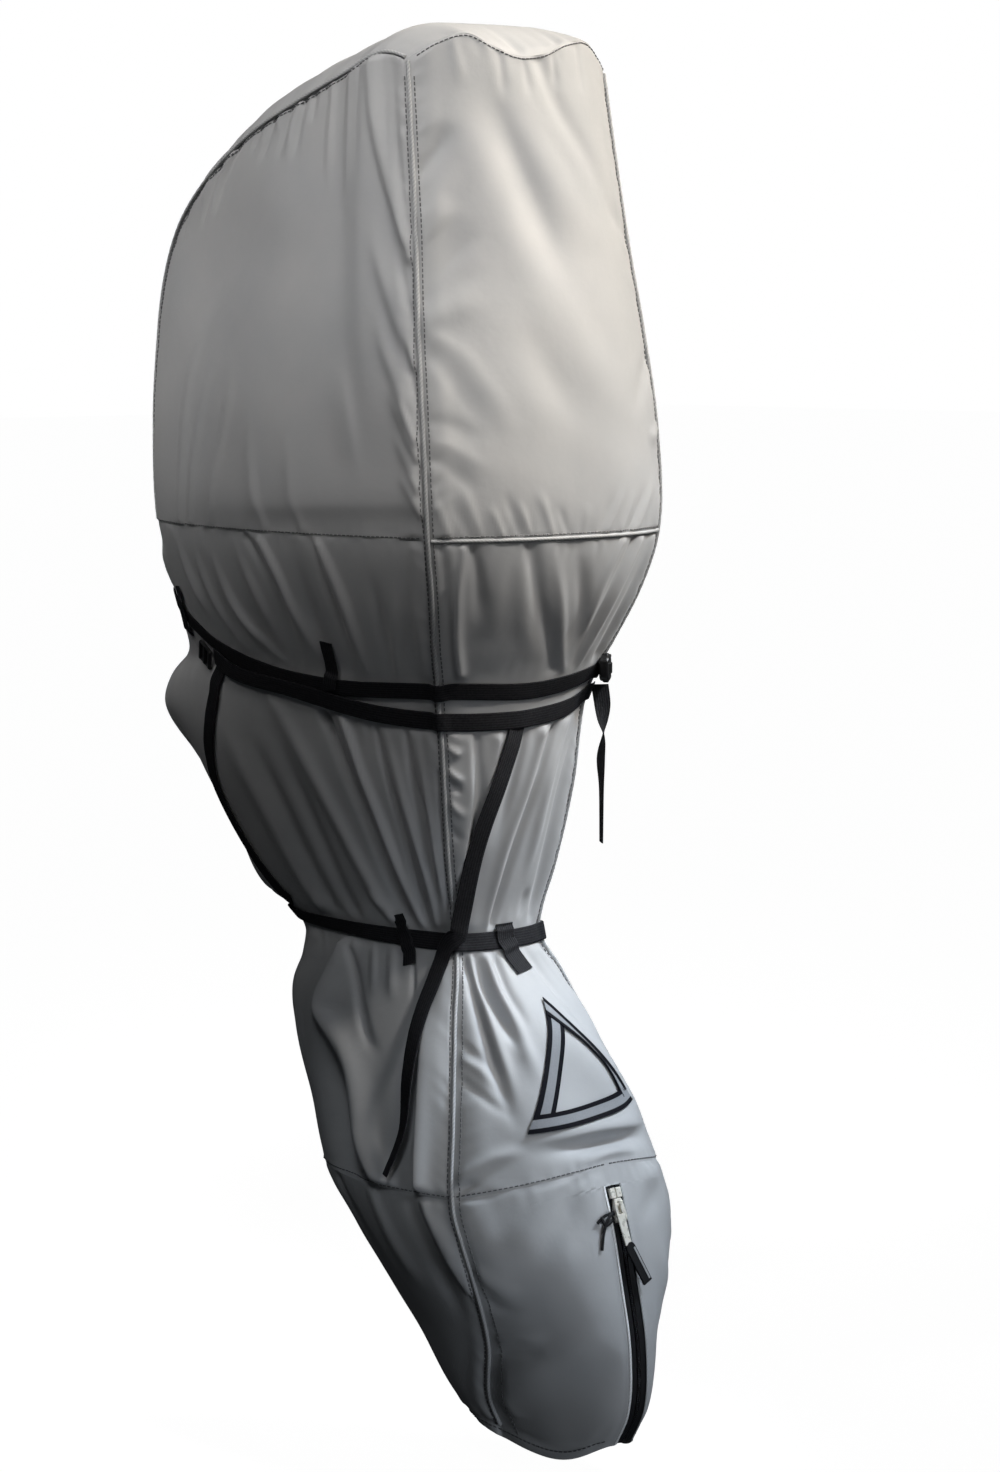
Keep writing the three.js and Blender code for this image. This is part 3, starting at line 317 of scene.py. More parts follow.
# a crease is a line of (girth, drop) spots, its rise in mm (a trough is negative) and its half width;
# two widths make one flank steeper: first the flank to the left when looking along the line
def creaseHeight(girth, drop, creases):
    across = girthLength(girth, drop)
    height = np.zeros_like(drop)
    for line, rise, width in creases:
        leftWidth, rightWidth = width if isinstance(width, tuple) else (width, width)
        spots = np.array(line, float)
        startHeld, endHeld = heldAt(spots[[0, -1], 0], spots[[0, -1], 1])
        path = np.stack([girthLength(spots[:, 0], spots[:, 1]), spots[:, 1]], -1)
        path = resample(path, 1 + creaseForm["steps"] * (len(line) - 1))
        reach = creaseForm["reach"] * max(leftWidth, rightWidth)
        low = path.min(axis=0) - reach
        high = path.max(axis=0) + reach
        near = (across > low[0]) & (across < high[0]) & (drop > low[1]) & (drop < high[1])
        here = np.stack([across[near], drop[near]], -1)
        nearest = np.full(len(here), np.inf)
        aside = np.zeros(len(here))
        share = np.zeros(len(here))
        lengths = np.linalg.norm(np.diff(path, axis=0), axis=1)
        starts = np.concatenate([[0], np.cumsum(lengths)])
        for k, length in enumerate(lengths):
            way = (path[k + 1] - path[k]) / length
            offset = here - path[k]
            along = np.clip(offset @ way, 0, length)
            distance = np.linalg.norm(offset - along[:, None] * way, axis=1)
            closer = distance < nearest
            nearest = np.where(closer, distance, nearest)
            aside = np.where(closer, way[0] * offset[:, 1] - way[1] * offset[:, 0], aside)
            share = np.where(closer, (starts[k] + along) / starts[-1], share)
        fadeIn = startHeld + (1 - startHeld) * smoothStep(share, 0, creaseForm["fade"])
        fadeOut = endHeld + (1 - endHeld) * smoothStep(1 - share, 0, creaseForm["fade"])
        spread = 1 - creaseForm["pinch"] * (startHeld * (1 - share) + endHeld * share)
        flank = np.where(aside > 0, leftWidth, rightWidth) * spread
        height[near] += rise * fadeIn * fadeOut * bell(nearest, flank)
    return height


# mm in a row of gathers, and leads that keep every place on it
gatherRun = {"length": 2400, "lead": 300, "ringLead": 800, "aftLead": 300}


# small gathers that cross a stitched line, uneven but the same in each run
def puckers(along, away, seed, period, rise, reach):
    draws = np.random.default_rng(seed)
    knots = int(gatherRun["length"] / period)
    waves = smoothTable([(k * period, draws.uniform(-1, 1)) for k in range(knots)])
    return rise * waves(along + gatherRun["lead"])[..., 0] * bell(away, reach)


swell = {"waves": 8, "sizes": (0.6, 1.7), "share": 2.8}


# broad low waves over a whole panel
def unevenness(across, drop, seed, rise, size):
    draws = np.random.default_rng(seed)
    total = np.zeros_like(drop)
    for _ in range(swell["waves"]):
        angle = draws.uniform(0, 2 * math.pi)
        wave = size * draws.uniform(*swell["sizes"])
        phase = draws.uniform(0, 2 * math.pi)
        total += np.sin((across * math.cos(angle) + drop * math.sin(angle)) * 2 * math.pi / wave + phase)
    return rise * total / swell["share"]


# stitched seams: how the cloth dips, swells and gathers beside them; gathers as (period, rise, reach)
seams = {
    "dip": 1.2,
    "dipReach": 2.4,
    "aftDip": 0.8,
    "aftDipReach": 2,
    "flat": (1, 7),  # mm from a corner over which the cloth leaves its seam
    "gatherFrom": 5,
    "freeFrom": 6,
    "hemFrom": 8,
    "puffAt": 15,
    "puffReach": 11,
    "puffPeriod": 46,
    "puffVary": 0.6,
    "uneven": (0.4, 100),
    "gatherSlant": 0.7,
    "corner": (8, 0.8, 15),
    "belt": (9, 1.7, 26),
    "crown": (9, 0.8, 14),
    "aftTop": (10, 0.9, 16),
    "aftHem": (8, 1.0, 14),
    "levelPeriod": 7,
    "levelReach": 14,
    "levelFrom": 4,
    "groove": 0.2,
    "grooveReach": 2.0,
}


# a panel's dictionary gives its creases, the seed of its gathers and the puff beside its corner seam
def clothHeight(girth, drop, shape):
    seed = shape["seed"]
    corner = cornerDistance(girth, drop)
    across = girthLength(girth, drop)
    height = creaseHeight(girth, drop, shape["creases"]) + unevenness(across, drop, seed, *seams["uneven"])
    uneven = puckers(drop, 0 * drop, seed + 5, seams["puffPeriod"], seams["puffVary"], 1)
    height += shape["puff"] * (1 + uneven) * bell(corner - seams["puffAt"], seams["puffReach"])
    height += puckers(drop + seams["gatherSlant"] * corner, corner, seed + 1, *seams["corner"])
    for k, name in enumerate(beltDrops):
        away = np.abs(drop - beltDrop(name, girth))
        height += puckers(across + gatherRun["ringLead"], away, seed + 2 + k, *seams["belt"])
    free = smoothStep(corner, *seams["flat"]) * beltRoom(girth, drop)
    return height * free - seams["dip"] * bell(corner, seams["dipReach"])


# gathers and the groove along a level seam, such as a hem
def levelSeam(girth, drop, seamDrop, seed, rise=1.0):
    away = np.abs(drop - seamDrop)
    along = girthLength(girth, drop) + gatherRun["ringLead"]
    gathers = puckers(along, away, seed, seams["levelPeriod"], rise, seams["levelReach"])
    groove = seams["groove"] * bell(away, seams["grooveReach"])
    return gathers * smoothStep(away, 0, seams["levelFrom"]) - groove


def meshFrom(name, bm):
    mesh = bpy.data.meshes.new(name)
    bm.to_mesh(mesh)
    bm.free()
    return mesh


# a flat grid of quads, moved onto points[column, row]; a wrapped one is closed into a tube
def gridMesh(name, points, uvs, wrap=False):
    columns = points.shape[0] - 1
    rows = points.shape[1] - 1
    bm = bmesh.new()
    bmesh.ops.create_grid(bm, x_segments=columns, y_segments=rows, size=0.5)
    uvLayer = bm.loops.layers.uv.new("cut")
    spots = [(round((v.co.x + 0.5) * columns), round((v.co.y + 0.5) * rows)) for v in bm.verts]
    bm.verts.index_update()
    for vert, spot in zip(bm.verts, spots):
        vert.co = points[spot]
    for face in bm.faces:
        face.smooth = True
        for loop in face.loops:
            loop[uvLayer].uv = uvs[spots[loop.vert.index]]
    if wrap:
        bmesh.ops.remove_doubles(bm, verts=bm.verts, dist=1e-6)
    openEnds = [edge for edge in bm.edges if edge.is_boundary]
    for edge in openEnds:
        edge.smooth = False
    if wrap:
        bmesh.ops.holes_fill(bm, edges=openEnds, sides=0)
        bmesh.ops.recalc_face_normals(bm, faces=bm.faces)
    return meshFrom(name, bm)


def addPiece(name, mesh, material, slot, *nodes):
    mesh.materials.append(material)
    piece = bpy.data.objects.new(name, mesh)
    scene.collection.objects.link(piece)
    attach(piece, "root")
    if nodes:
        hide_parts(*nodes)
    return piece


def addThickness(piece, thick, offset):
    thickness = piece.modifiers.new("thickness", "SOLIDIFY")
    thickness.thickness = thick
    thickness.offset = offset


# node helpers
def addNode(tree, kind, **settings):
    node = tree.nodes.new(kind)
    for key, value in settings.items():
        setattr(node, key, value)
    return node


# links each socket that is given to its input, and sets the other inputs to their values
def feed(tree, node, inputs):
    for key, value in inputs.items():
        if isinstance(value, bpy.types.NodeSocket):
            tree.links.new(value, node.inputs[key])
        else:
            node.inputs[key].default_value = value
    return node


def newMaterial(name):
    material = bpy.data.materials.new(name)
    material.use_nodes = True
    addNode(material.node_tree, "ShaderNodeTexCoord", name="places")
    return material, material.node_tree


def dress(material, inputs):
    tree = material.node_tree
    feed(tree, tree.nodes["Principled BSDF"], inputs)
    return material


def mixColors(tree, factor, first, second):
    mix = addNode(tree, "ShaderNodeMix", data_type="RGBA", blend_type="MIX")
    return feed(tree, mix, {0: factor, 6: first, 7: second}).outputs[2]


def noiseOn(tree, scale, detail=3.0, roughness=0.55):
    places = tree.nodes["places"].outputs["Object"]
    noise = addNode(tree, "ShaderNodeTexNoise")
    feed(tree, noise, {"Vector": places, "Scale": scale, "Detail": detail, "Roughness": roughness})
    return noise.outputs["Fac"]


# bands across the cut, their period in metres
def wavesOn(tree, period, direction, distortion=0.0):
    places = tree.nodes["places"].outputs["UV"]
    waves = addNode(tree, "ShaderNodeTexWave", wave_type="BANDS", bands_direction=direction)
    feed(tree, waves, {"Vector": places, "Scale": 2 * math.pi / (20 * period), "Distortion": distortion})
    return waves.outputs["Fac"]


def bumpFrom(tree, height, strength, distance, **normal):
    bump = addNode(tree, "ShaderNodeBump")
    inputs = {"Height": height, "Strength": strength, "Distance": distance, **normal}
    return feed(tree, bump, inputs).outputs["Normal"]


def mathOn(tree, operation, first, second):
    return feed(tree, addNode(tree, "ShaderNodeMath", operation=operation), {0: first, 1: second}).outputs[0]


def rangeOn(tree, value, low, high, toLow, toHigh):
    inputs = {"Value": value, "From Min": low, "From Max": high, "To Min": toLow, "To Max": toHigh}
    return feed(tree, addNode(tree, "ShaderNodeMapRange"), inputs).outputs["Result"]


# satin silver-grey coated polyester with a fine plain weave
clothLook = {
    "color": (0.40, 0.405, 0.415, 1),
    "worn": (0.45, 0.45, 0.455, 1),
    "roughness": (0.55, 0.66),
    "clouds": 7,
    "flecks": 240,
    "crinkle": 34,
    "crinkleDepth": 0.0016,
    "weave": 0.0009,
    "weaveDepth": 0.00006,
    "bump": 0.35,
}


def makeClothMaterial():
    material, tree = newMaterial("silverPolyester")
    worn = rangeOn(tree, noiseOn(tree, clothLook["clouds"], 4), 0.35, 0.7, 0, 1)
    flecks = noiseOn(tree, clothLook["flecks"], 2)
    crinkles = noiseOn(tree, clothLook["crinkle"], 5, 0.5)
    warp, weft = [wavesOn(tree, clothLook["weave"], way) for way in ("X", "Y")]
    weave = mathOn(tree, "MULTIPLY", warp, weft)
    soft = bumpFrom(tree, crinkles, clothLook["bump"], clothLook["crinkleDepth"])
    return dress(material, {
        "Base Color": mixColors(tree, worn, clothLook["color"], clothLook["worn"]),
        "Roughness": rangeOn(tree, flecks, 0.3, 0.7, *clothLook["roughness"]),
        "Normal": bumpFrom(tree, weave, clothLook["bump"], clothLook["weaveDepth"], Normal=soft),
        "Sheen Weight": 0.12,
        "Sheen Roughness": 0.4,
        "Specular IOR Level": 0.3,
    })


# grey cord cover, and a near-white copy for folded edges that is a painted highlight
def makePipingMaterial(name, dark, light):
    material, tree = newMaterial(name)
    twist = wavesOn(tree, 0.0022, "DIAGONAL", 0.6)
    tone = mixColors(tree, twist, dark, light)
    normal = bumpFrom(tree, twist, 0.5, 0.0003)
    return dress(material, {"Base Color": tone, "Normal": normal, "Roughness": 0.55})


def makeThreadMaterial():
    material, tree = newMaterial("greyThread")
    tone = mixColors(tree, noiseOn(tree, 300), (0.07, 0.07, 0.075, 1), (0.16, 0.16, 0.165, 1))
    return dress(material, {"Base Color": tone, "Roughness": 0.5})


# black ribbed webbing: u runs across, v along, in metres
def makeWebbingMaterial():
    material, tree = newMaterial("blackWebbing")
    ribs = wavesOn(tree, 0.0028, "X", 0.3)
    picks = wavesOn(tree, 0.0014, "Y", 0.4)
    weave = mathOn(tree, "MULTIPLY", ribs, picks)
    fuzz = rangeOn(tree, noiseOn(tree, 420), 0.4, 0.75, 0, 0.5)
    tone = mixColors(tree, weave, (0.006, 0.006, 0.008, 1), (0.022, 0.022, 0.026, 1))
    return dress(material, {
        "Base Color": mixColors(tree, fuzz, tone, (0.03, 0.03, 0.033, 1)),
        "Normal": bumpFrom(tree, weave, 0.8, 0.0005),
        "Roughness": 0.7,
        "Specular IOR Level": 0.2,
    })


# reflective tape: u runs across from 0 to 1, v along in metres; black stripes along both edges
def makeTapeMaterial():
    material, tree = newMaterial("reflectiveTape")
    split = addNode(tree, "ShaderNodeSeparateXYZ")
    feed(tree, split, {0: tree.nodes["places"].outputs["UV"]})
    fromMiddle = mathOn(tree, "ABSOLUTE", mathOn(tree, "SUBTRACT", split.outputs["X"], 0.5), 0)
    stripe = rangeOn(tree, fromMiddle, 0.235, 0.255, 0, 1)
    beads = noiseOn(tree, 900, 2)
    grey = mixColors(tree, beads, (0.2, 0.21, 0.225, 1), (0.3, 0.31, 0.33, 1))
    return dress(material, {
        "Base Color": mixColors(tree, stripe, grey, (0.003, 0.003, 0.006, 1)),
        "Roughness": rangeOn(tree, stripe, 0, 1, 0.5, 0.8),
        "Normal": bumpFrom(tree, beads, 0.3, 0.0002),
        "Specular IOR Level": 0.12,
    })


def makeZipMaterial():
    material, tree = newMaterial("blackZipTape")
    weave = noiseOn(tree, 700, 2)
    return dress(material, {
        "Base Color": mixColors(tree, weave, (0.004, 0.004, 0.005, 1), (0.016, 0.016, 0.018, 1)),
        "Normal": bumpFrom(tree, weave, 0.5, 0.0003),
        "Roughness": 0.65,
        "Specular IOR Level": 0.2,
    })


def makeNickelMaterial():
    material, tree = newMaterial("polishedNickel")
    wear = noiseOn(tree, 160, 4)
    return dress(material, {
        "Base Color": mixColors(tree, wear, (0.82, 0.77, 0.66, 1), (0.95, 0.93, 0.88, 1)),
        "Roughness": rangeOn(tree, wear, 0.3, 0.7, 0.22, 0.4),
        "Metallic": 0.25,
    })


def makePlasticMaterial():
    material, tree = newMaterial("mouldedBlackPlastic")
    scuffs = noiseOn(tree, 90, 4)
    worn = rangeOn(tree, scuffs, 0.5, 0.75, 0, 0.6)
    return dress(material, {
        "Base Color": mixColors(tree, worn, (0.010, 0.010, 0.011, 1), (0.03, 0.03, 0.032, 1)),
        "Roughness": rangeOn(tree, scuffs, 0.3, 0.7, 0.3, 0.46),
        "Normal": bumpFrom(tree, noiseOn(tree, 900, 2), 0.25, 0.0002),
    })


silverCloth = makeClothMaterial()
pipingCloth = makePipingMaterial("pipingCloth", (0.36, 0.365, 0.375, 1), (0.46, 0.465, 0.47, 1))
# near-white copy of the piping: a painted highlight along the zip's port folded edge
paintedHighlightEdge = makePipingMaterial("paintedHighlightEdge", (0.72, 0.725, 0.73, 1), (0.85, 0.855, 0.86, 1))
greyThread = makeThreadMaterial()
blackWebbing = makeWebbingMaterial()
reflectiveTape = makeTapeMaterial()
blackZipTape = makeZipMaterial()
polishedNickel = makeNickelMaterial()
blackPlastic = makePlasticMaterial()
print("materials made")

# every cloth panel is a closed sheet this thick, its outer face on the frame's folds
clothSheet = {"thick": 0.0010}


def addPanel(name, shape, points):
    right = np.linalg.norm(np.diff(points, axis=0), axis=-1)
    up = np.linalg.norm(np.diff(points, axis=1), axis=-1)
    u = np.concatenate([np.zeros((1, points.shape[1])), np.cumsum(right, axis=0)], axis=0)
    v = np.concatenate([np.zeros((points.shape[0], 1)), np.cumsum(up, axis=1)], axis=1)
    mesh = gridMesh(name, toFrame(points), np.stack([u, v], -1) * mm)
    panel = addPiece(name, mesh, silverCloth, "cover_cloth", shape["node"])
    addThickness(panel, clothSheet["thick"], -1)


mirror = np.array([-1, 1, 1])

# crown seam on the side: share of the way from the aft corner to the nose, and drop
crownSeam = {
    "span": 700,
    "length": 1100,  # mm along it, for its gathers
    "spots": 160,
    "cornerShare": 0.66,  # where the seam turns down the front
    "topCrowd": 1.15,  # columns and rows are closer where the cloth bends more
    "columnCrowd": 0.8,
    "rows": [
        (0, 44), (0.04, 37), (0.08, 40), (0.15, 58), (0.26, 83), (0.42, 121), (0.57, 171), (0.68, 225),
        (0.755, 300), (0.79, 390), (0.8, 470), (0.8, 545),
    ],
    "aft": [
        (-1, 44), (-0.8, 25), (-0.58, 16), (-0.38, 27), (-0.14, 37), (0.14, 33), (0.4, 20),
        (0.72, 17), (1, 44),
    ],
}


# points of the crown seam at even shares of its length, as (mm along the side, drop)
def traceCrownSeam():
    rows = np.array([(side * crownSeam["span"], drop) for side, drop in crownSeam["rows"]])
    padded = np.vstack([rows[:1], rows, rows[-1:]])
    slopes = (padded[2:] - padded[:-2]) / 2
    line = []
    for k in range(len(rows) - 1):
        t = np.linspace(0, 1, 40, endpoint=False)[:, None]
        rise = rows[k + 1] - rows[k]
        curve = 3 * rise - 2 * slopes[k] - slopes[k + 1] + t * (slopes[k] + slopes[k + 1] - 2 * rise)
        line.append(rows[k] + t * (slopes[k] + t * curve))
    line = np.vstack(line + [rows[-1:]])
    reached = lengthAlong(line)
    return line, reached / reached[-1]


seamLine, seamReached = traceCrownSeam()
aftSeamAt = smoothTable(crownSeam["aft"])


def seamPlace(share):
    share = np.asarray(share, float)
    return np.stack([np.interp(share, seamReached, seamLine[:, k]) for k in range(2)], -1)


def aftSeamDrop(girth):
    return aftSeamAt(girth)[..., 0]


# port side of the hood: its places fill the space between the hem, the aft corner and the crown seam
def hoodSidePlaces(fore, high):
    corner = crownSeam["cornerShare"]
    top = seamPlace(corner * fore ** crownSeam["topCrowd"])
    front = seamPlace(corner + (1 - corner) * (1 - high))
    frontFoot = seamPlace(1.0)
    frontTop = seamPlace(corner)
    aftTop = seamPlace(0.0)
    foreShare = top[..., :1] / frontTop[0]
    fore = fore[..., None]
    high = high[..., None]
    level = np.full_like(foreShare, hem)
    foot = np.concatenate([frontFoot[0] * foreShare, level], -1)
    aft = np.concatenate([np.zeros_like(level), hem + (aftTop[1] - hem) * high], -1)
    place = foot * (1 - high) + top * high + aft * (1 - fore) + front * fore
    place = place - np.array([0, hem]) * (1 - fore) * (1 - high) - frontFoot * fore * (1 - high)
    return place - aftTop * (1 - fore) * high - frontTop * fore * high


# mm from a place on the side to the crown seam, and the distance along that seam
def crownSeamDistance(side, drop):
    shares = np.linspace(0, 1, crownSeam["spots"])
    nearest = np.full(drop.shape, np.inf)
    along = np.zeros(drop.shape)
    for spot, share in zip(seamPlace(shares), shares):
        distance = np.hypot(side - spot[0], drop - spot[1])
        closer = distance < nearest
        nearest = np.where(closer, distance, nearest)
        along = np.where(closer, share * crownSeam["length"], along)
    return nearest, along


hoodPort = {
    "node": "hood_port",
    "flat": (0.58, 0.52),
    "area": 0.205,
    "held": "draped",
    "restsOn": ["hood_crown"],
    "columns": 130,
    "rows": 150,
    "seed": 10,
    "puff": 3.0,
    "creases": [
        # the cloth rounds towards the aft corner seam, with long slanting folds beside it
        ([(-1.10, 44), (-1.105, 200), (-1.10, 350), (-1.085, 515)], 8, (42, 28)),
        ([(-1.075, 46), (-1.07, 110), (-1.045, 180), (-1.008, 250)], 6, (20, 11)),
        ([(-1.03, 48), (-1.028, 120), (-1.02, 190), (-1.008, 226)], -3, 6),
        ([(-1.085, 205), (-1.07, 250), (-1.04, 310), (-1.008, 362)], 6, (22, 11)),
        ([(-1.035, 230), (-1.025, 270), (-1.008, 318)], -3, 6),
        ([(-1.075, 300), (-1.06, 345), (-1.03, 400), (-1.008, 440)], 5.5, (20, 10)),
        ([(-1.03, 320), (-1.02, 355), (-1.008, 390)], -3, 5),
        ([(-1.06, 376), (-1.035, 420), (-1.008, 458)], 5, (17, 9)),
        ([(-1.03, 390), (-1.008, 430)], -2.5, 5),
        ([(-1.055, 425), (-1.03, 462), (-1.008, 492)], 4, (15, 8)),
        ([(-1.05, 470), (-1.02, 500), (-1.008, 518)], 3, (12, 6)),
        # short folds under the crown seam
        ([(-1.10, 44), (-1.11, 110), (-1.115, 190)], -2, 7),
        ([(-1.125, 50), (-1.135, 130), (-1.14, 210)], 2.5, 6),
        ([(-1.17, 62), (-1.18, 120), (-1.185, 190)], 2, 6),
        ([(-1.215, 74), (-1.225, 110)], -2.2, 5),
        ([(-1.24, 79), (-1.255, 108), (-1.27, 150)], -3, 5),
        ([(-1.255, 82), (-1.275, 112), (-1.29, 150)], 2.5, 5),
        ([(-1.275, 87), (-1.295, 118), (-1.31, 148)], -2.8, 5),
        ([(-1.30, 92), (-1.32, 116)], 2.2, 4),
        ([(-1.32, 97), (-1.345, 130), (-1.37, 160)], -2.6, 5),
        ([(-1.36, 106), (-1.39, 140)], -2.2, 5),
        ([(-1.42, 121), (-1.47, 156), (-1.51, 210)], -2.5, 6),
        ([(-1.45, 130), (-1.50, 170), (-1.54, 224)], 2.5, 6),
        ([(-1.49, 143), (-1.535, 186), (-1.565, 232)], -2.5, 5),
        ([(-1.53, 157), (-1.57, 200)], 2, 5),
        ([(-1.62, 195), (-1.65, 240)], -2, 6),
        # broad swell below the crown seam
        ([(-1.6, 200), (-1.38, 176), (-1.29, 203), (-1.21, 192), (-1.08, 192)], 3.5, (60, 40)),
        # soft upright folds above the hem
        ([(-1.43, 276), (-1.52, 328), (-1.57, 410), (-1.61, 540)], 3, (8, 14)),
        ([(-1.46, 320), (-1.51, 404), (-1.54, 460), (-1.57, 540)], 3, (8, 12)),
        ([(-1.41, 340), (-1.44, 424), (-1.48, 492), (-1.50, 540)], 2.4, (8, 12)),
        ([(-1.37, 400), (-1.37, 480), (-1.34, 540)], 2.2, (10, 16)),
        ([(-1.16, 340), (-1.14, 420), (-1.12, 500)], 4, (10, 22)),
        ([(-1.27, 420), (-1.27, 490), (-1.25, 540)], 2, 12),
        # the cloth turns in towards the hem
        ([(-1.70, 520), (-1.3, 512), (-1.1, 506), (-1.0, 505)], 3.5, (44, 18)),
    ],
}


def hoodSideHeight(girth, drop, shape):
    toSeam, alongSeam = crownSeamDistance((np.abs(girth) - 1) * crownSeam["span"], drop)
    gathers = puckers(alongSeam, toSeam, shape["seed"] + 7, *seams["crown"])
    height = clothHeight(girth, drop, shape) + gathers * smoothStep(toSeam, 0, seams["gatherFrom"])
    height *= smoothStep(toSeam, 0, seams["freeFrom"]) * smoothStep(hem - drop, 0, seams["hemFrom"])
    height += levelSeam(girth, drop, hem, shape["seed"] + 8)
    return height - seams["dip"] * bell(toSeam, seams["dipReach"])


def hoodSidePoints(shape):
    fore = 1 - np.linspace(0, 1, shape["columns"] + 1) ** crownSeam["columnCrowd"]
    fore, high = np.meshgrid(fore, np.linspace(0, 1, shape["rows"] + 1), indexing="ij")
    place = hoodSidePlaces(fore, high)
    girth = -1 - place[..., 0] / crownSeam["span"]
    drop = place[..., 1]
    return lifted(girth, drop, hoodSideHeight(girth, drop, shape))[0]


addPanel("hoodPortCloth", hoodPort, hoodSidePoints(hoodPort))

# starboard side: the same cut, with folds of its own
hoodStarboard = {
    **hoodPort,
    "node": "hood_starboard",
    "columns": 90,
    "rows": 110,
    "seed": 30,
    "creases": [
        ([(-1.05, 60), (-1.05, 130), (-1.02, 220)], 4, 8),
        ([(-1.08, 180), (-1.05, 260), (-1.01, 310)], -3.5, 6),
        ([(-1.09, 240), (-1.05, 310), (-1.01, 350)], 3.5, 6),
        ([(-1.07, 340), (-1.04, 380), (-1.01, 410)], 3, 5),
        ([(-1.06, 410), (-1.01, 450)], -2.5, 5),
        ([(-1.22, 90), (-1.25, 150)], -2, 6),
        ([(-1.36, 120), (-1.41, 190)], -2, 6),
        ([(-1.6, 205), (-1.36, 182), (-1.2, 198), (-1.08, 190)], 2.5, (40, 22)),
        ([(-1.50, 330), (-1.54, 420), (-1.57, 520)], 2.5, 9),
        ([(-1.33, 400), (-1.35, 470), (-1.34, 534)], 3, 10),
        ([(-1.17, 420), (-1.15, 510)], 3, 12),
        ([(-1.68, 520), (-1.3, 512), (-1.0, 505)], 5, (44, 14)),
    ],
}
addPanel("hoodStarboardCloth", hoodStarboard, hoodSidePoints(hoodStarboard)[::-1] * mirror)

# aft face of the hood
hoodAft = {
    "node": "hood_aft",
    "flat": (0.36, 0.54),
    "area": 0.175,
    "held": "draped",
    "restsOn": ["hood_crown"],
    "columns": 120,
    "rows": 160,
    "seed": 50,
    "puff": 2.0,
    "creases": [
        ([(-0.60, 30), (-0.45, 76), (-0.30, 128), (-0.14, 184), (0.0, 236), (0.16, 300)], -5, (26, 18)),
        ([(-0.76, 60), (-0.49, 168), (-0.23, 264), (0.04, 348), (0.40, 440)], 3.2, 30),
        ([(-0.22, 80), (0.11, 168), (0.40, 250)], 3, 24),
        ([(-0.36, 300), (-0.11, 380), (0.16, 444)], -2.5, 22),
        ([(0.06, 34), (0.24, 92), (0.51, 144), (0.72, 210)], -2.4, 18),
        ([(-0.06, 240), (0.16, 330), (0.46, 430)], 2.5, 24),
        # soft dents off the corner seams
        ([(-0.99, 196), (-0.90, 160), (-0.78, 104)], -2.2, 13),
        ([(-0.99, 216), (-0.86, 190), (-0.72, 146)], 1.5, 13),
        ([(-0.99, 300), (-0.84, 282), (-0.58, 254)], -1.6, 16),
        ([(-0.99, 320), (-0.83, 308), (-0.58, 288)], 1.4, 15),
        ([(-0.99, 344), (-0.90, 362), (-0.76, 398), (-0.6, 450)], -1.4, (12, 18)),
        ([(-0.99, 326), (-0.78, 352), (-0.58, 400), (-0.42, 456)], 1.4, 16),
        ([(-0.99, 420), (-0.84, 426), (-0.64, 446)], -1.4, 12),
        ([(-0.99, 440), (-0.84, 450), (-0.62, 478)], 1.3, 11),
        ([(-0.99, 458), (-0.87, 470), (-0.68, 500)], -1.3, 10),
        ([(-0.99, 172), (-0.9, 150), (-0.72, 108)], -3, (10, 16)),
        ([(-0.99, 236), (-0.88, 216), (-0.74, 188)], 2.4, (9, 14)),
        ([(-0.99, 292), (-0.85, 262), (-0.6, 214)], -3, (12, 20)),
        ([(0.99, 230), (0.85, 212), (0.62, 180)], -1.8, 15),
        ([(0.99, 350), (0.82, 376), (0.58, 426)], -2, 15),
        ([(0.99, 430), (0.8, 450)], 2.5, 10),
        # fan above the hem
        ([(-0.99, 492), (-0.88, 545)], 1.8, 7),
        ([(-0.88, 500), (-0.77, 545)], -1.3, 5),
        ([(-0.84, 480), (-0.70, 545)], 1.6, 7),
        ([(-0.66, 504), (-0.56, 545)], 1.4, 5),
        ([(-0.56, 490), (-0.43, 545)], -1.4, 6),
        ([(-0.47, 500), (-0.36, 545)], 1.5, 5),
        ([(-0.33, 486), (-0.18, 545)], 1.6, 7),
        ([(-0.16, 506), (-0.06, 545)], -1.2, 6),
        ([(0.10, 506), (0.08, 545)], 1.0, 7),
        ([(0.34, 496), (0.20, 545)], -1.4, 7),
        ([(0.50, 480), (0.27, 545)], 1.6, 7),
        ([(0.60, 492), (0.41, 545)], 1.3, 6),
        ([(0.72, 490), (0.50, 545)], -1.5, 6),
        ([(0.88, 480), (0.60, 545)], 1.8, 8),
        # short puckers under the wavy top seam
        ([(-0.31, 30), (-0.30, 90)], -1.4, 8),
        ([(-0.09, 36), (-0.05, 84)], -1.2, 7),
        ([(0.23, 30), (0.24, 76)], -1.6, 7),
        ([(0.55, 20), (0.52, 80)], -1.6, 8),
        ([(-0.7, 20), (-0.64, 76)], 1.3, 9),
    ],
}


def hoodAftHeight(girth, drop):
    along = girthLength(girth, drop) + gatherRun["aftLead"]
    toTop = drop - aftSeamDrop(girth)
    toHem = hem - drop
    height = clothHeight(girth, drop, hoodAft)
    height += puckers(along, toTop, hoodAft["seed"] + 7, *seams["aftTop"])
    height += puckers(along, toHem, hoodAft["seed"] + 8, *seams["aftHem"])
    height *= smoothStep(toTop, 0, seams["freeFrom"]) * smoothStep(toHem, 0, seams["freeFrom"])
    height -= seams["dip"] * bell(toHem, seams["dipReach"])
    return height - seams["aftDip"] * bell(toTop, seams["aftDipReach"])


def hoodAftPoints():
    girth = np.linspace(-1, 1, hoodAft["columns"] + 1)
    girth, high = np.meshgrid(girth, np.linspace(0, 1, hoodAft["rows"] + 1), indexing="ij")
    drop = hem + (aftSeamDrop(girth) - hem) * high
    return lifted(girth, drop, hoodAftHeight(girth, drop))[0]


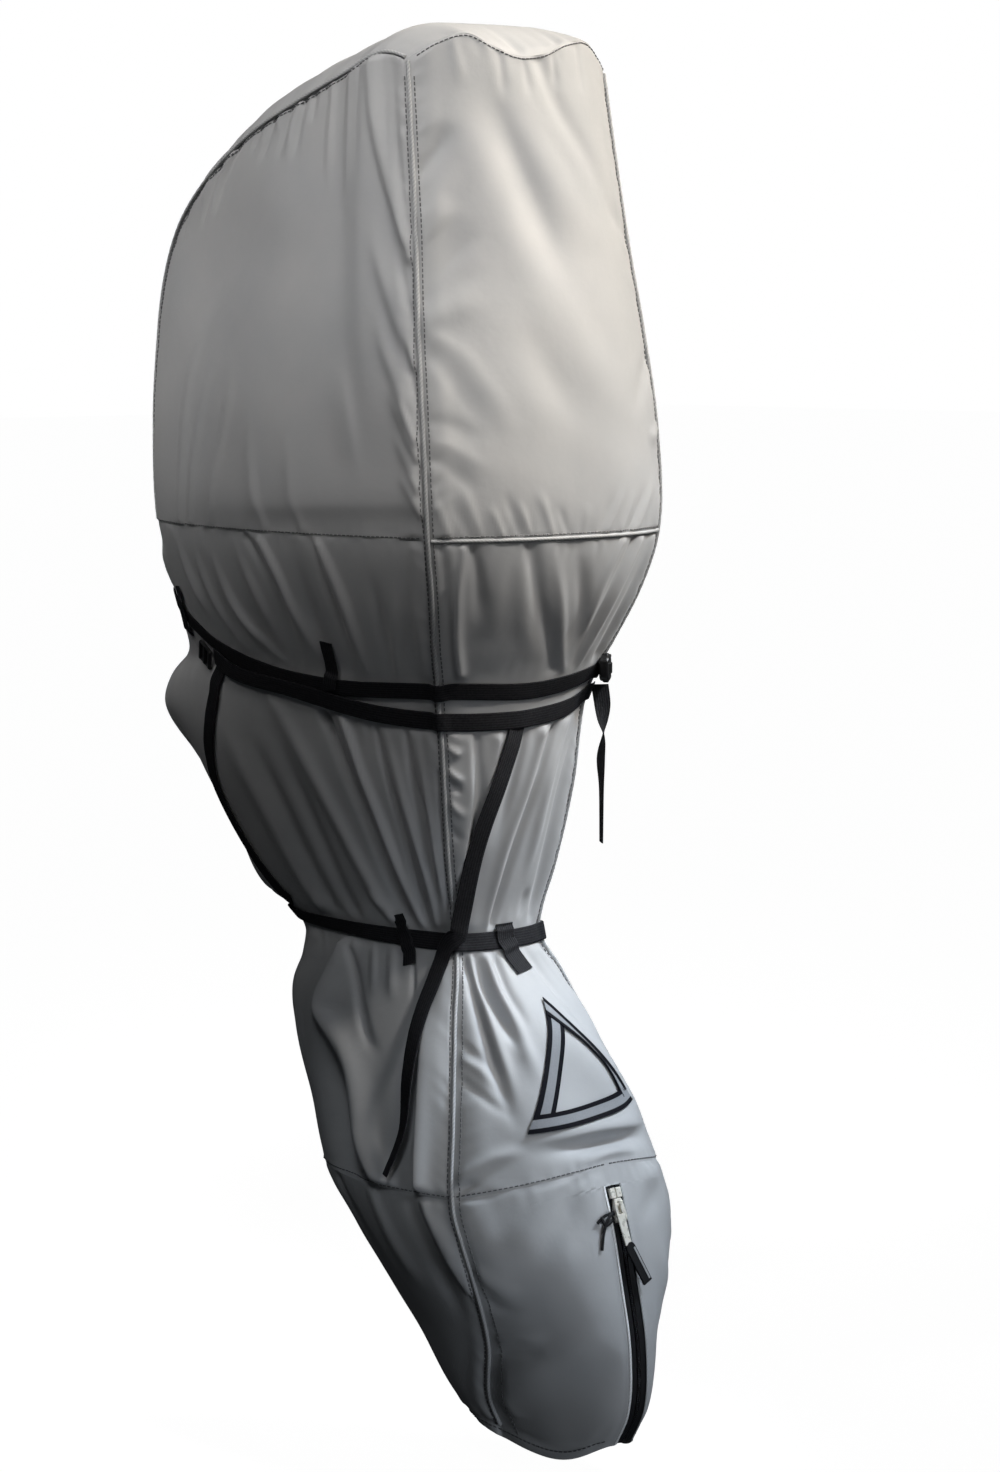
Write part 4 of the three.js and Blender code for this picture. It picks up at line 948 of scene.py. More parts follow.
addPanel("hoodAftCloth", hoodAft, hoodAftPoints())

# crown strip over the sloping top and down the front
hoodCrown = {
    "node": "hood_crown",
    "flat": (0.36, 1.02),
    "area": 0.29,
    "held": "draped",
    "restsOn": ["hood_port", "hood_aft"],
    "columns": 70,
    "rows": 200,
    "rowCrowd": 1.2,
    "seed": 70,
    "half": 150,  # mm from its middle to a side seam, for its gathers
    "uneven": (0.7, 120),
    "sideGathers": (9, 0.9, 14),
    "aftGathers": (11, 1.8, 34),
    "blend": 70,  # the first mm of the crown follow the wavy aft seam
    # share along the seam, swell of the dome, its lean forward in degrees
    "dome": [(0, 42, 0), (0.25, 42, 20), (0.5, 38, 30), (0.7, 30, 60), (0.85, 22, 85), (1, 18, 90)],
    # the cloth swells past its dome
    "fullness": [(0, 0), (0.05, 0), (0.12, 6), (0.2, 13), (0.3, 17), (0.5, 17), (0.65, 12), (0.8, 5), (1, 0)],
}
domeAt = smoothTable(hoodCrown["dome"])
fullnessAt = smoothTable(hoodCrown["fullness"])


def seamOnSide(share):
    place = seamPlace(share)
    return ringPoint(-1 - place[..., 0] / crownSeam["span"], place[..., 1])


def domeShape(across):
    power = coverShape["noseRound"]
    noseWidth = abs(seamOnSide(1.0)[0]) / sectionAt(coverShape["hem"])[3]

    def reach(share):
        return (1 - share**power) ** (1 / power)

    return (reach(noseWidth * np.abs(across)) - reach(noseWidth)) / (1 - reach(noseWidth))


def gridOutward(points):
    return unit(np.cross(np.gradient(points, axis=0), np.gradient(points, axis=1)))


# rows run from the aft seam over the top to the hem at the front, columns from port to starboard
def crownPoints():
    across = np.linspace(-1, 1, hoodCrown["columns"] + 1)
    share = np.linspace(0, 1, hoodCrown["rows"] + 1) ** hoodCrown["rowCrowd"]
    across, share = np.meshgrid(across, share, indexing="ij")
    edge = seamOnSide(share)
    dome = domeAt(share)
    rise = (dome[..., 0] + fullnessAt(share)[..., 0]) * domeShape(across)
    lean = np.radians(dome[..., 1])
    fore = edge[..., 1] + rise * np.sin(lean)
    up = edge[..., 2] + rise * np.cos(lean)
    top = np.stack([-edge[..., 0] * across, fore, up], -1)
    fromAft = seamPlace(share)[..., 0]
    blend = (np.maximum(1 - fromAft / hoodCrown["blend"], 0) ** 2)[..., None]
    points = top * (1 - blend) + ringPoint(across, aftSeamDrop(across)) * blend
    # low waves, gathers at the seams and short puckers behind the wavy seam
    seed = hoodCrown["seed"]
    reached = share * crownSeam["length"]
    aside = across * hoodCrown["half"]
    fromSide = (1 - np.abs(across)) * hoodCrown["half"]
    height = unevenness(aside, reached, seed, *hoodCrown["uneven"])
    height += puckers(reached, fromSide, seed + 1, *hoodCrown["sideGathers"])
    height += puckers(aside + gatherRun["aftLead"], reached, seed + 2, *hoodCrown["aftGathers"])
    height *= smoothStep(fromSide, 0, seams["freeFrom"]) * smoothStep(reached, 0, seams["hemFrom"])
    height *= smoothStep(crownSeam["length"] - reached, 0, seams["hemFrom"])
    height -= seams["dip"] * bell(fromSide, seams["dipReach"])
    height -= seams["aftDip"] * bell(reached, seams["aftDipReach"])
    return points + gridOutward(points) * height[..., None]


addPanel("hoodCrownCloth", hoodCrown, crownPoints())
print("hood done")

# leg and boot: ring panels between two drops; their level seams as (drop, rise of the gathers)
legPort = {
    "node": "leg_port",
    "flat": (0.62, 0.76),
    "area": 0.36,
    "held": "gathered",
    "restsOn": ["belt_upper", "belt_ankle"],
    "columns": 170,
    "rows": 220,
    "crowd": 1.35,
    "between": (hem, bootSeam),
    "levelSeams": [(hem, 1.0), (bootSeam, 0.6)],
    "seed": 100,
    "puff": 2.0,
    "creases": [
        # skirt
        ([(-1.36, 548), (-1.33, 590), (-1.31, 630), (-1.27, 690)], 5.5, (8, 13)),
        ([(-1.22, 548), (-1.20, 580), (-1.18, 626), (-1.16, 694)], 5.5, (8, 12)),
        ([(-1.23, 548), (-1.22, 592), (-1.20, 640), (-1.185, 690)], -3.5, 7),
        ([(-1.07, 580), (-1.08, 640), (-1.09, 696)], 3.5, 7),
        ([(-1.12, 570), (-1.11, 634), (-1.095, 694)], -3.5, 8),
        ([(-1.44, 556), (-1.41, 608), (-1.37, 680)], 4, 8),
        ([(-1.53, 560), (-1.49, 630), (-1.42, 686)], 4, 8),
        ([(-1.52, 600), (-1.46, 650), (-1.38, 690)], 3, 6),
        ([(-1.59, 560), (-1.56, 630), (-1.50, 680)], 3.5, 7),
        ([(-1.65, 556), (-1.63, 610), (-1.58, 660)], 4, 9),
        ([(-1.40, 548), (-1.35, 606), (-1.325, 684)], -4, 8),
        ([(-1.04, 580), (-1.03, 624), (-1.03, 690)], 2.5, 6),
        ([(-1.28, 556), (-1.27, 628), (-1.24, 690)], -4, 11),
        ([(-1.75, 560), (-1.78, 620)], 5, 16),
        # between the belts
        ([(-1.41, 732), (-1.32, 824), (-1.25, 928), (-1.21, 980)], 5, 16),
        ([(-1.43, 738), (-1.40, 804), (-1.38, 880), (-1.37, 976)], -5, 14),
        ([(-1.27, 736), (-1.23, 808), (-1.20, 876), (-1.16, 976)], -9, 10),
        ([(-1.22, 740), (-1.19, 804), (-1.16, 872), (-1.11, 976)], 7, 9),
        ([(-1.14, 752), (-1.13, 804), (-1.11, 880), (-1.09, 976)], -6, 5),
        ([(-1.12, 756), (-1.10, 824), (-1.065, 912), (-1.06, 976)], 5.5, 7),
        ([(-1.075, 756), (-1.07, 812), (-1.05, 864), (-1.04, 960)], -7, 6),
        ([(-1.055, 760), (-1.04, 832), (-1.025, 912), (-1.03, 970)], 4.5, 6),
        ([(-1.012, 800), (-1.012, 884), (-1.012, 950)], -3, 5),
        ([(-1.62, 745), (-1.56, 860), (-1.54, 936), (-1.54, 980)], 4, 20),
        ([(-1.27, 935), (-1.22, 966)], 3, 6),
        ([(-1.50, 760), (-1.47, 880), (-1.46, 976)], -4, 14),
        ([(-1.82, 740), (-1.85, 850), (-1.86, 960)], -7, 20),
        # flare below the ankle belt: past a long curving fold the cloth turns away
        ([(-1.475, 1002), (-1.53, 1048), (-1.555, 1082), (-1.48, 1108), (-1.39, 1134), (-1.36, 1170),
          (-1.33, 1207), (-1.25, 1244)], 14, (40, 12)),
        ([(-1.60, 1095), (-1.53, 1135), (-1.475, 1170), (-1.45, 1210), (-1.41, 1244)], -18, (42, 42)),
        ([(-1.46, 1004), (-1.38, 1052), (-1.31, 1100), (-1.24, 1110)], -6, 9),
        ([(-1.07, 1010), (-1.085, 1060), (-1.095, 1110), (-1.105, 1180), (-1.105, 1244)], 14, (30, 6)),
        ([(-1.125, 1020), (-1.14, 1110), (-1.145, 1234)], -5, (6, 14)),
        ([(-1.17, 1006), (-1.15, 1060)], -2.5, 4),
        ([(-1.26, 1006), (-1.23, 1060)], 3, 8),
        ([(-1.34, 1004), (-1.31, 1060)], 3, 7),
        ([(-1.70, 1006), (-1.74, 1090), (-1.70, 1200)], 6, 18),
        ([(-1.85, 1006), (-1.86, 1100)], -6, 16),
    ],
}


def ringPanelHeight(girth, drop, shape):
    height = clothHeight(girth, drop, shape)
    for k, (seamDrop, rise) in enumerate(shape["levelSeams"]):
        height *= smoothStep(np.abs(drop - seamDrop), 0, seams["hemFrom"])
        height += levelSeam(girth, drop, seamDrop, shape["seed"] + 10 + k, rise)
    return height


def ringPanelPoints(girths, shape):
    drops = np.linspace(*shape["between"], shape["rows"] + 1)
    girth, drop = np.meshgrid(girths, drops[::-1], indexing="ij")
    return lifted(girth, levelDrop(drop, girth), ringPanelHeight(girth, drop, shape))[0]


def starboardGirths(shape):
    return 1 + np.linspace(0, 1, shape["columns"] + 1) ** shape["crowd"]


addPanel("legPortCloth", legPort, ringPanelPoints(-starboardGirths(legPort)[::-1], legPort))

legAft = {
    **legPort,
    "node": "leg_aft",
    "flat": (0.36, 0.74),
    "area": 0.17,
    "columns": 120,
    "rows": 240,
    "seed": 130,
    "creases": [
        # skirt
        ([(-0.81, 552), (-0.86, 600), (-0.86, 652), (-0.82, 700)], 6, (5, 9)),
        ([(-0.94, 550), (-0.91, 608), (-0.91, 680)], -3, 8),
        ([(-0.77, 550), (-0.73, 580), (-0.70, 640)], -4, 9),
        ([(-0.54, 556), (-0.59, 596), (-0.59, 660)], 2, 11),
        ([(-0.37, 550), (-0.23, 612), (0.04, 668), (0.2, 698)], -4, 14),
        ([(-0.47, 556), (-0.34, 632), (-0.06, 690)], 2, 11),
        ([(-0.19, 556), (0.04, 636), (0.30, 696)], 3, 10),
        ([(0.01, 556), (0.20, 616), (0.45, 690)], -3, 11),
        ([(0.46, 550), (0.34, 604), (0.34, 690)], 3, 9),
        ([(0.70, 550), (0.56, 608), (0.51, 690)], 3.5, 9),
        ([(0.59, 550), (0.46, 612), (0.45, 690)], -3, 8),
        ([(0.88, 560), (0.78, 620), (0.8, 690)], -3.5, 11),
        # between the belts
        ([(-0.74, 758), (-0.73, 808), (-0.74, 840), (-0.80, 880), (-0.87, 912)], 4, (10, 5)),
        ([(-0.66, 758), (-0.63, 820), (-0.69, 872), (-0.76, 930)], -5, 7),
        ([(-0.98, 752), (-0.84, 760)], 3.5, 5),
        ([(-0.98, 770), (-0.82, 782)], 4, 5),
        ([(-0.98, 795), (-0.80, 812)], 4, 5),
        ([(-0.98, 806), (-0.82, 824)], -4, 4),
        ([(-0.98, 830), (-0.80, 850)], 4, 5),
        ([(-0.98, 858), (-0.84, 876)], -3.5, 5),
        ([(0.41, 750), (0.17, 824), (-0.10, 900), (-0.40, 980)], -7, 8),
        ([(0.23, 752), (-0.01, 828), (-0.26, 892), (-0.50, 976)], 5, 8),
        ([(0.61, 750), (0.37, 820), (0.20, 940)], 5, 8),
        ([(0.88, 744), (0.66, 852), (0.6, 976)], -7, 10),
        ([(-0.04, 758), (-0.21, 820), (-0.43, 888)], -5, 7),
        ([(0.37, 932), (0.21, 974)], -3, 7),
        ([(-0.40, 752), (-0.52, 830), (-0.66, 920)], 4, 10),
        # gathers below the ankle belt
        ([(-0.90, 1003), (-0.83, 1048), (-0.77, 1104), (-0.70, 1156), (-0.66, 1186)], -10, (6, 9)),
        ([(-0.80, 1003), (-0.77, 1056), (-0.70, 1124), (-0.67, 1174)], 7.5, 7),
        ([(-0.74, 1003), (-0.71, 1030), (-0.63, 1062), (-0.53, 1104)], -15, (6, 11)),
        ([(-0.56, 1003), (-0.55, 1052), (-0.49, 1096), (-0.44, 1138)], 6.5, 9),
        ([(-0.40, 1003), (-0.42, 1048), (-0.40, 1080)], -5, 7),
        ([(-0.99, 1088), (-0.89, 1100), (-0.79, 1116)], -2.5, 6),
        ([(-0.99, 1104), (-0.86, 1116), (-0.74, 1136)], 2.2, 6),
        ([(-0.98, 1124), (-0.84, 1144), (-0.70, 1164)], -2.5, 6),
        ([(0.34, 1003), (0.42, 1060), (0.5, 1120)], -4, 9),
        ([(0.62, 1003), (0.68, 1060), (0.72, 1130)], 4, 9),
        ([(0.86, 1003), (0.82, 1080), (0.84, 1180)], -5, 9),
        # fold along the triangle's right side, which hides part of its tape
        ([(-0.14, 1052), (-0.01, 1076), (0.178, 1106), (0.33, 1136), (0.46, 1168)], 12, (34, 8)),
        ([(0.2, 1060), (0.42, 1098), (0.58, 1134), (0.70, 1172)], 6, 12),
        # sag below the triangle
        ([(-0.69, 1182), (-0.50, 1192), (0.0, 1194), (0.5, 1196), (0.9, 1196)], 7, (7, 26)),
        ([(-0.72, 1202), (-0.50, 1210), (-0.03, 1212), (0.5, 1214), (0.9, 1218)], -10, 12),
        ([(-0.98, 1226), (-0.83, 1210), (-0.64, 1196)], 5, 9),
        ([(-0.2, 1236), (0.1, 1231), (0.45, 1233)], 4, (5, 14)),
        ([(-0.99, 1238), (-0.88, 1230)], -4, 6),
    ],
}
addPanel("legAftCloth", legAft, ringPanelPoints(np.linspace(-1, 1, legAft["columns"] + 1), legAft))

legStarboard = {
    **legPort,
    "node": "leg_starboard",
    "columns": 110,
    "rows": 160,
    "crowd": 1.25,
    "seed": 160,
    "creases": [
        ([(1.10, 552), (1.09, 600), (1.075, 694)], 3.5, 6),
        ([(1.17, 548), (1.15, 606), (1.12, 690)], 6, (9, 13)),
        ([(1.22, 560), (1.19, 626), (1.165, 694)], -4, 7),
        ([(1.29, 548), (1.27, 580), (1.26, 640)], 3, 12),
        ([(1.35, 590), (1.31, 640), (1.25, 694)], 5, (7, 12)),
        ([(1.43, 552), (1.40, 610), (1.34, 690)], -5, 10),
        ([(1.50, 600), (1.45, 650), (1.39, 690)], 4, 7),
        ([(1.60, 556), (1.57, 620), (1.50, 676)], 4.5, (14, 8)),
        ([(1.75, 560), (1.78, 620)], 5, 16),
        ([(1.04, 756), (1.03, 830), (1.035, 920)], -4, 6),
        ([(1.09, 730), (1.08, 800), (1.055, 900), (1.045, 976)], 5, (6, 10)),
        ([(1.15, 738), (1.13, 812), (1.10, 890)], -7, 8),
        ([(1.19, 728), (1.17, 790), (1.12, 880), (1.09, 976)], 6.5, (8, 12)),
        ([(1.27, 726), (1.24, 800), (1.18, 890), (1.14, 976)], -8, (9, 14)),
        ([(1.31, 800), (1.27, 880), (1.20, 976)], 4, 9),
        ([(1.40, 724), (1.36, 810), (1.30, 900)], 5, (16, 11)),
        ([(1.48, 722), (1.45, 850), (1.39, 976)], -7, 15),
        ([(1.55, 850), (1.50, 920), (1.46, 976)], 3.5, 10),
        ([(1.61, 716), (1.58, 830), (1.55, 960)], 5, 19),
        ([(1.82, 740), (1.85, 850), (1.86, 960)], -7, 20),
        ([(1.06, 1010), (1.08, 1100), (1.08, 1240)], 6, 12),
        ([(1.16, 1006), (1.16, 1100), (1.17, 1230)], -6, 14),
        ([(1.33, 1006), (1.38, 1080), (1.32, 1200)], 9, 20),
        ([(1.52, 1006), (1.56, 1090), (1.48, 1220)], -9, 22),
        ([(1.70, 1006), (1.74, 1090), (1.70, 1200)], 6, 18),
        ([(1.85, 1006), (1.86, 1100)], -6, 16),
    ],
}
addPanel("legStarboardCloth", legStarboard, ringPanelPoints(starboardGirths(legStarboard), legStarboard))
print("leg done")

# boot at the foot: two sides of the same cut, and two aft halves beside the zip
bootStarboard = {
    "node": "boot_starboard",
    "flat": (0.30, 0.28),
    "area": 0.07,
    "held": "draped",
    "restsOn": ["leg_starboard"],
    "columns": 80,
    "rows": 90,
    "crowd": 1.2,
    "between": (bootSeam, floorDrop),
    "levelSeams": [(bootSeam, 0.8), (floorDrop - 12, 0.7)],
    "seed": 190,
    "puff": 2.0,
    "creases": [
        ([(1.10, 1250), (1.075, 1292), (1.03, 1344)], 7, (22, 6)),
        ([(1.15, 1250), (1.13, 1320), (1.08, 1400)], -3, 14),
        ([(1.30, 1250), (1.29, 1300), (1.25, 1360)], 4, 16),
        ([(1.50, 1250), (1.47, 1330), (1.43, 1440)], -4, 18),
        ([(1.70, 1250), (1.68, 1360), (1.65, 1480)], 4, 18),
        ([(1.1, 1510), (1.4, 1500), (1.8, 1508)], 2, 8),
    ],
}
bootPort = {**bootStarboard, "node": "boot_port", "restsOn": ["leg_port"], "seed": 210}
bootAftPort = {
    **bootStarboard,
    "node": "boot_aft_port",
    "flat": (0.18, 0.31),
    "area": 0.045,
    "restsOn": ["leg_aft"],
    "columns": 64,
    "rows": 110,
    "upperRows": 8,
    "seed": 230,
    "creases": [
        ([(-0.98, 1318), (-0.90, 1338), (-0.80, 1354)], 3, (7, 11)),
        ([(-0.98, 1352), (-0.92, 1362), (-0.82, 1370)], -2.2, 8),
        ([(-0.98, 1404), (-0.87, 1396), (-0.72, 1394)], 2.4, 8),
        ([(-0.98, 1420), (-0.87, 1414), (-0.74, 1410)], -2, 8),
        ([(-0.99, 1468), (-0.92, 1482)], 2.5, 6),
        ([(-0.92, 1320), (-0.69, 1284), (-0.40, 1242)], 3.5, 20),
        ([(-0.05, 1264), (-0.2, 1258), (-0.42, 1272)], 4, (10, 14)),
        ([(-0.16, 1300), (-0.3, 1290), (-0.5, 1310)], -2.5, 12),
        ([(-0.97, 1468), (-0.80, 1428), (-0.60, 1402), (-0.30, 1376)], 4, 18),
        ([(-0.82, 1330), (-0.57, 1294), (-0.24, 1252)], -4, 18),
        ([(-0.66, 1466), (-0.42, 1432), (-0.22, 1406)], -3, 16),
    ],
}
bootAftStarboard = {
    **bootAftPort,
    "node": "boot_aft_starboard",
    "seed": 250,
    "creases": [
        ([(0.98, 1300), (0.86, 1320), (0.76, 1330)], 2.5, 9),
        ([(0.97, 1390), (0.85, 1380), (0.74, 1384)], 2.5, 8),
        ([(0.98, 1460), (0.9, 1476)], -3, 6),
        ([(0.16, 1272), (0.35, 1262), (0.7, 1256)], 3, 8),
        ([(0.16, 1296), (0.35, 1282), (0.62, 1268)], -3, 8),
        ([(0.35, 1230), (0.55, 1270), (0.74, 1300)], 3.5, 15),
        ([(0.30, 1380), (0.55, 1410), (0.85, 1470)], -3.5, 16),
        ([(0.28, 1300), (0.45, 1330), (0.6, 1380)], 4, 14),
    ],
}
zipHalf = 12.5  # the zip keeps its width all the way down
zipTop = (1262.0, 1262.6)  # above these drops the two aft halves meet
zipSide = {"tuck": 1.0, "flat": 12, "roll": 0.8, "rollAt": 1, "rollReach": 3}  # cloth beside the zip
bootGirths = starboardGirths(bootStarboard)
addPanel("bootStarboardCloth", bootStarboard, ringPanelPoints(bootGirths, bootStarboard))
addPanel("bootPortCloth", bootPort, ringPanelPoints(bootGirths, bootPort)[::-1] * mirror)


# one aft half of the boot, from the zip to a corner
def bootAftHeight(girth, drop, shape):
    below = smoothStep(drop, *zipTop)
    fromEdge = np.abs(girth) * sectionAt(drop)[..., 0] - zipHalf * below
    roll = zipSide["roll"] * below * bell(fromEdge - zipSide["rollAt"], zipSide["rollReach"])
    return ringPanelHeight(girth, drop, shape) * smoothStep(fromEdge, 0, zipSide["flat"]) + roll


def bootAftPoints(sign, shape):
    upper = np.linspace(zipTop[0], bootSeam, shape["upperRows"])
    drops = np.concatenate([np.linspace(floorDrop, zipTop[1], shape["rows"]), upper])
    shares = np.linspace(0, 1, shape["columns"] + 1)
    share, drop = np.meshgrid(shares if sign > 0 else shares[::-1], drops, indexing="ij")
    inner = (zipHalf - zipSide["tuck"]) / sectionAt(drop)[..., 0] * smoothStep(drop, *zipTop)
    girth = sign * (inner + (1 - inner) * share)
    return lifted(girth, levelDrop(drop, girth), bootAftHeight(girth, drop, shape))[0]


addPanel("bootAftPortCloth", bootAftPort, bootAftPoints(-1, bootAftPort))
addPanel("bootAftStarboardCloth", bootAftStarboard, bootAftPoints(1, bootAftStarboard))
print("boot done")


# a strip or tube: a rounded flat section carried along a line, across and away being its axes
def sweepMesh(name, centres, across, away, halfWidth, halfThick, sides=14, squareness=5.0):
    angle = np.linspace(0, 2 * math.pi, sides + 1)
    x, y = [
        half * np.sign(wave) * np.abs(wave) ** (2 / squareness)
        for half, wave in ((halfWidth, np.cos(angle)), (halfThick, np.sin(angle)))
    ]
    x[-1], y[-1] = x[0], y[0]
    points = centres[None] + x[:, None, None] * across[None] + y[:, None, None] * away[None]
    around = lengthAlong(np.stack([x, y], -1))
    uvs = np.stack(np.meshgrid(around, lengthAlong(centres), indexing="ij"), -1) * mm
    return gridMesh(name, toFrame(points), uvs, wrap=True)


def lineAxes(centres, away):
    forward = unit(np.gradient(centres, axis=0))
    across = unit(np.cross(forward, away))
    return across, np.cross(across, forward)

def turned(x, y, z):
    return Matrix((x, y, z)).transposed().to_4x4()


# piping along the seams, drawn in a little by each stitch
piping = {
    "radius": 2.2,
    "proud": 0.7,
    "sides": 10,
    "round": 2.0,
    "step": 4,
    "end": 3,
    "dimple": 0.12,
    "wave": 2.1,
    "crownTilt": (-0.2, 0.4),
}


def addPiping(name, node, line, away):
    length = lengthAlong(line)[-1]
    count = int(length / piping["step"])
    centres, normals = spotsAlong(line, away, np.linspace(piping["end"], length - piping["end"], count))
    proud = piping["proud"] + piping["dimple"] * np.sin(np.arange(count) * piping["wave"])
    centres = centres + normals * proud[:, None]
    form = (piping["radius"], piping["radius"], piping["sides"], piping["round"])
    addPiece(name, sweepMesh(name, centres, *lineAxes(centres, normals), *form), pipingCloth, "piping", node)


cornerSeam = lifted(np.full(400, -1.0), np.linspace(seamPlace(0.0)[1], floorDrop - 1, 400), 0)
seamShares = np.linspace(0, 1, 300)
seamSpots = seamPlace(seamShares)
sideAway = outward(-1 - seamSpots[:, 0] / crownSeam["span"], seamSpots[:, 1])
tiltX, tiltY = piping["crownTilt"]
topAway = unit(np.stack([np.full(300, tiltX), tiltY * seamShares, 1 - seamShares], -1))
crownEdge = (seamOnSide(seamShares), unit(sideAway + topAway))
for seam, (line, away) in (("corner", cornerSeam), ("crown", crownEdge)):
    addPiping(seam + "PipingPort", "piping_" + seam + "_port", line, away)
    addPiping(seam + "PipingStarboard", "piping_" + seam + "_starboard", line * mirror, away * mirror)
addPiping("hemPipingAft", "piping_hem_aft", *lifted(np.linspace(-1, 1, 160), np.full(160, float(hem)), 0))
print("piping done")

# rows of thread beside the seams
stitches = {
    "length": 3.6,
    "pitch": 5.8,
    "radius": 0.7,
    "sides": 5,
    "lift": 0.4,
    "end": 5,
    "offset": 4.6,
    "near": 3.2,  # mm from a level seam
    "footHem": 8.0,
    "cornerFrom": 60,
    "cornerEnd": 6,
    "crownEnds": (30, -12),
    "aftReach": 0.96,  # girths where rows end
    "sideReach": (0.01, 0.79),
    "ringReach": 1.98,
    "cornerGap": 0.02,
    "zipClear": 4,
}


def addStitches(name, line, away):
    places = np.arange(stitches["end"], lengthAlong(line)[-1] - stitches["end"], stitches["pitch"])
    centres, normals = spotsAlong(line, away, places)
    across, up = lineAxes(centres, normals)
    forward = np.cross(up, across)
    radius = stitches["radius"] * mm
    bm = bmesh.new()
    for k, spot in enumerate(toFrame(centres + normals * stitches["lift"])):
        place = Matrix.Translation(spot) @ turned(across[k], up[k], forward[k])
        bmesh.ops.create_cone(
            bm, cap_ends=True, segments=stitches["sides"], radius1=radius, radius2=radius,
            depth=stitches["length"] * mm, matrix=place)
    addPiece(name, meshFrom(name, bm), greyThread, "piping")


# height of the cloth under a thread, whichever panel it lies on
def sewnHeight(girth, drop):
    around = np.abs(girth)
    quarters = [girth <= -1, girth < 0, girth < 1, girth >= 1]
    hoodPortRow = hoodSideHeight(-around, drop, hoodPort)
    hoodAftRow = hoodAftHeight(girth, drop)
    hoodStarboardRow = hoodSideHeight(-around, drop, hoodStarboard)
    legPortRow, legAftRow, legStarboardRow = [
        ringPanelHeight(girth, drop, shape) for shape in (legPort, legAft, legStarboard)
    ]
    hood = np.select(quarters, [hoodPortRow, hoodAftRow, hoodAftRow, hoodStarboardRow])
    leg = np.select(quarters, [legPortRow, legAftRow, legAftRow, legStarboardRow])
    foot = np.select(quarters, [
        ringPanelHeight(around, drop, bootPort),
        bootAftHeight(girth, drop, bootAftPort),
        bootAftHeight(girth, drop, bootAftStarboard),
        ringPanelHeight(around, drop, bootStarboard),
    ])
    return np.select([drop < hem, drop < bootSeam], [hood, leg], foot)


# a row on both sides of each corner seam
sewnDrops = np.linspace(stitches["cornerFrom"], floorDrop - stitches["cornerEnd"], 700)
offsetOnAft = stitches["offset"] / sectionAt(sewnDrops)[:, 0]
offsetOnSide = stitches["offset"] / sideLength(sewnDrops)
for label, girths in (
    ("PortAft", -1 + offsetOnAft), ("PortSide", -1 - offsetOnSide),
    ("StarboardAft", 1 - offsetOnAft), ("StarboardSide", 1 + offsetOnSide),
):
    height = sewnHeight(girths, sewnDrops)
    addStitches("cornerStitches" + label, *lifted(girths, levelDrop(sewnDrops, girths), height))

# under the wavy aft seam and over the aft hem
aftRow = np.linspace(-stitches["aftReach"], stitches["aftReach"], 400)
for label, drops in (
    ("WavySeam", aftSeamDrop(aftRow) + stitches["near"]), ("AftHem", np.full(400, hem - stitches["offset"])),
):
    addStitches("stitches" + label, *lifted(aftRow, drops, hoodAftHeight(aftRow, drops)))

# along the side hems and under the crown seams
sideRow = -1 - np.linspace(*stitches["sideReach"], 400)
seamRow = seamPlace(np.linspace(0, 1, 500))
seamWay = unit(np.gradient(seamRow, axis=0))
underSeam = seamRow + stitches["offset"] * np.stack([-seamWay[:, 1], seamWay[:, 0]], -1)
underSeam = underSeam[slice(*stitches["crownEnds"])]
for label, girths, drops in (
    ("SideHem", sideRow, np.full(400, hem - stitches["near"])),
    ("CrownSeam", -1 - underSeam[:, 0] / crownSeam["span"], underSeam[:, 1]),
):
    line, away = lifted(girths, drops, hoodSideHeight(girths, drops, hoodPort))
    addStitches("stitches" + label + "Port", line, away)
    line, away = lifted(girths, drops, hoodSideHeight(girths, drops, hoodStarboard))
    addStitches("stitches" + label + "Starboard", line * mirror, away * mirror)

# over the boot seam, and along the foot hem
ringRow = np.linspace(-stitches["ringReach"], stitches["ringReach"], 900)
ringRow = ringRow[np.abs(np.abs(ringRow) - 1) > stitches["cornerGap"]]
for label, drop in (("BootSeam", bootSeam - stitches["near"]), ("FootHem", floorDrop - stitches["footHem"])):
    drops = np.full(len(ringRow), drop)
    height = sewnHeight(ringRow, drops)
    fromMiddle = np.abs(ringRow) * sectionAt(drops)[:, 0]
    keep = (label == "BootSeam") | (fromMiddle > zipHalf + stitches["zipClear"])
    for name, row in (("Port", keep & (ringRow < 0)), ("Starboard", keep & (ringRow > 0))):
        line, away = lifted(ringRow[row], levelDrop(drops[row], ringRow[row]), height[row])
        addStitches("stitches" + label + name, line, away)
print("stitches done")


# webbing on the cloth: belts, straps and loops
def addWebbing(name, node, axes, width=belts["width"], thick=belts["thick"]):
    addPiece(name, sweepMesh(name, *axes, width / 2, thick / 2), blackWebbing, "webbing", node)


def addBelt(name, node, path, girths, extraLift):
    drop = beltDrop(path, girths)
    half = belts["width"] / 2
    hump = belts["hump"] * bell(cornerDistance(girths, drop), belts["humpReach"])
    lift = belts["clear"] + hump + extraLift + belts["thick"] / 2
    upper = ringPoint(girths, drop - half)
    lower = ringPoint(girths, drop + half)
    centres = (upper + lower) / 2 + outward(girths, drop) * lift[:, None]
    across = unit(upper - lower)
    out = unit(np.cross(unit(np.gradient(centres, axis=0)), across))
    addWebbing(name, node, (centres, across, out))


layer = belts["thick"] + belts["clear"]
alongSide = np.linspace(0, 0.998, 200) ** 1.3
allGirths = np.concatenate([-1 - alongSide[::-1], np.linspace(-1, 1, 120)[1:-1], 1 + alongSide])
addBelt("upperBelt", "belt_upper", "upper", allGirths, 0)
addBelt("ankleBelt", "belt_ankle", "ankle", allGirths, 0)
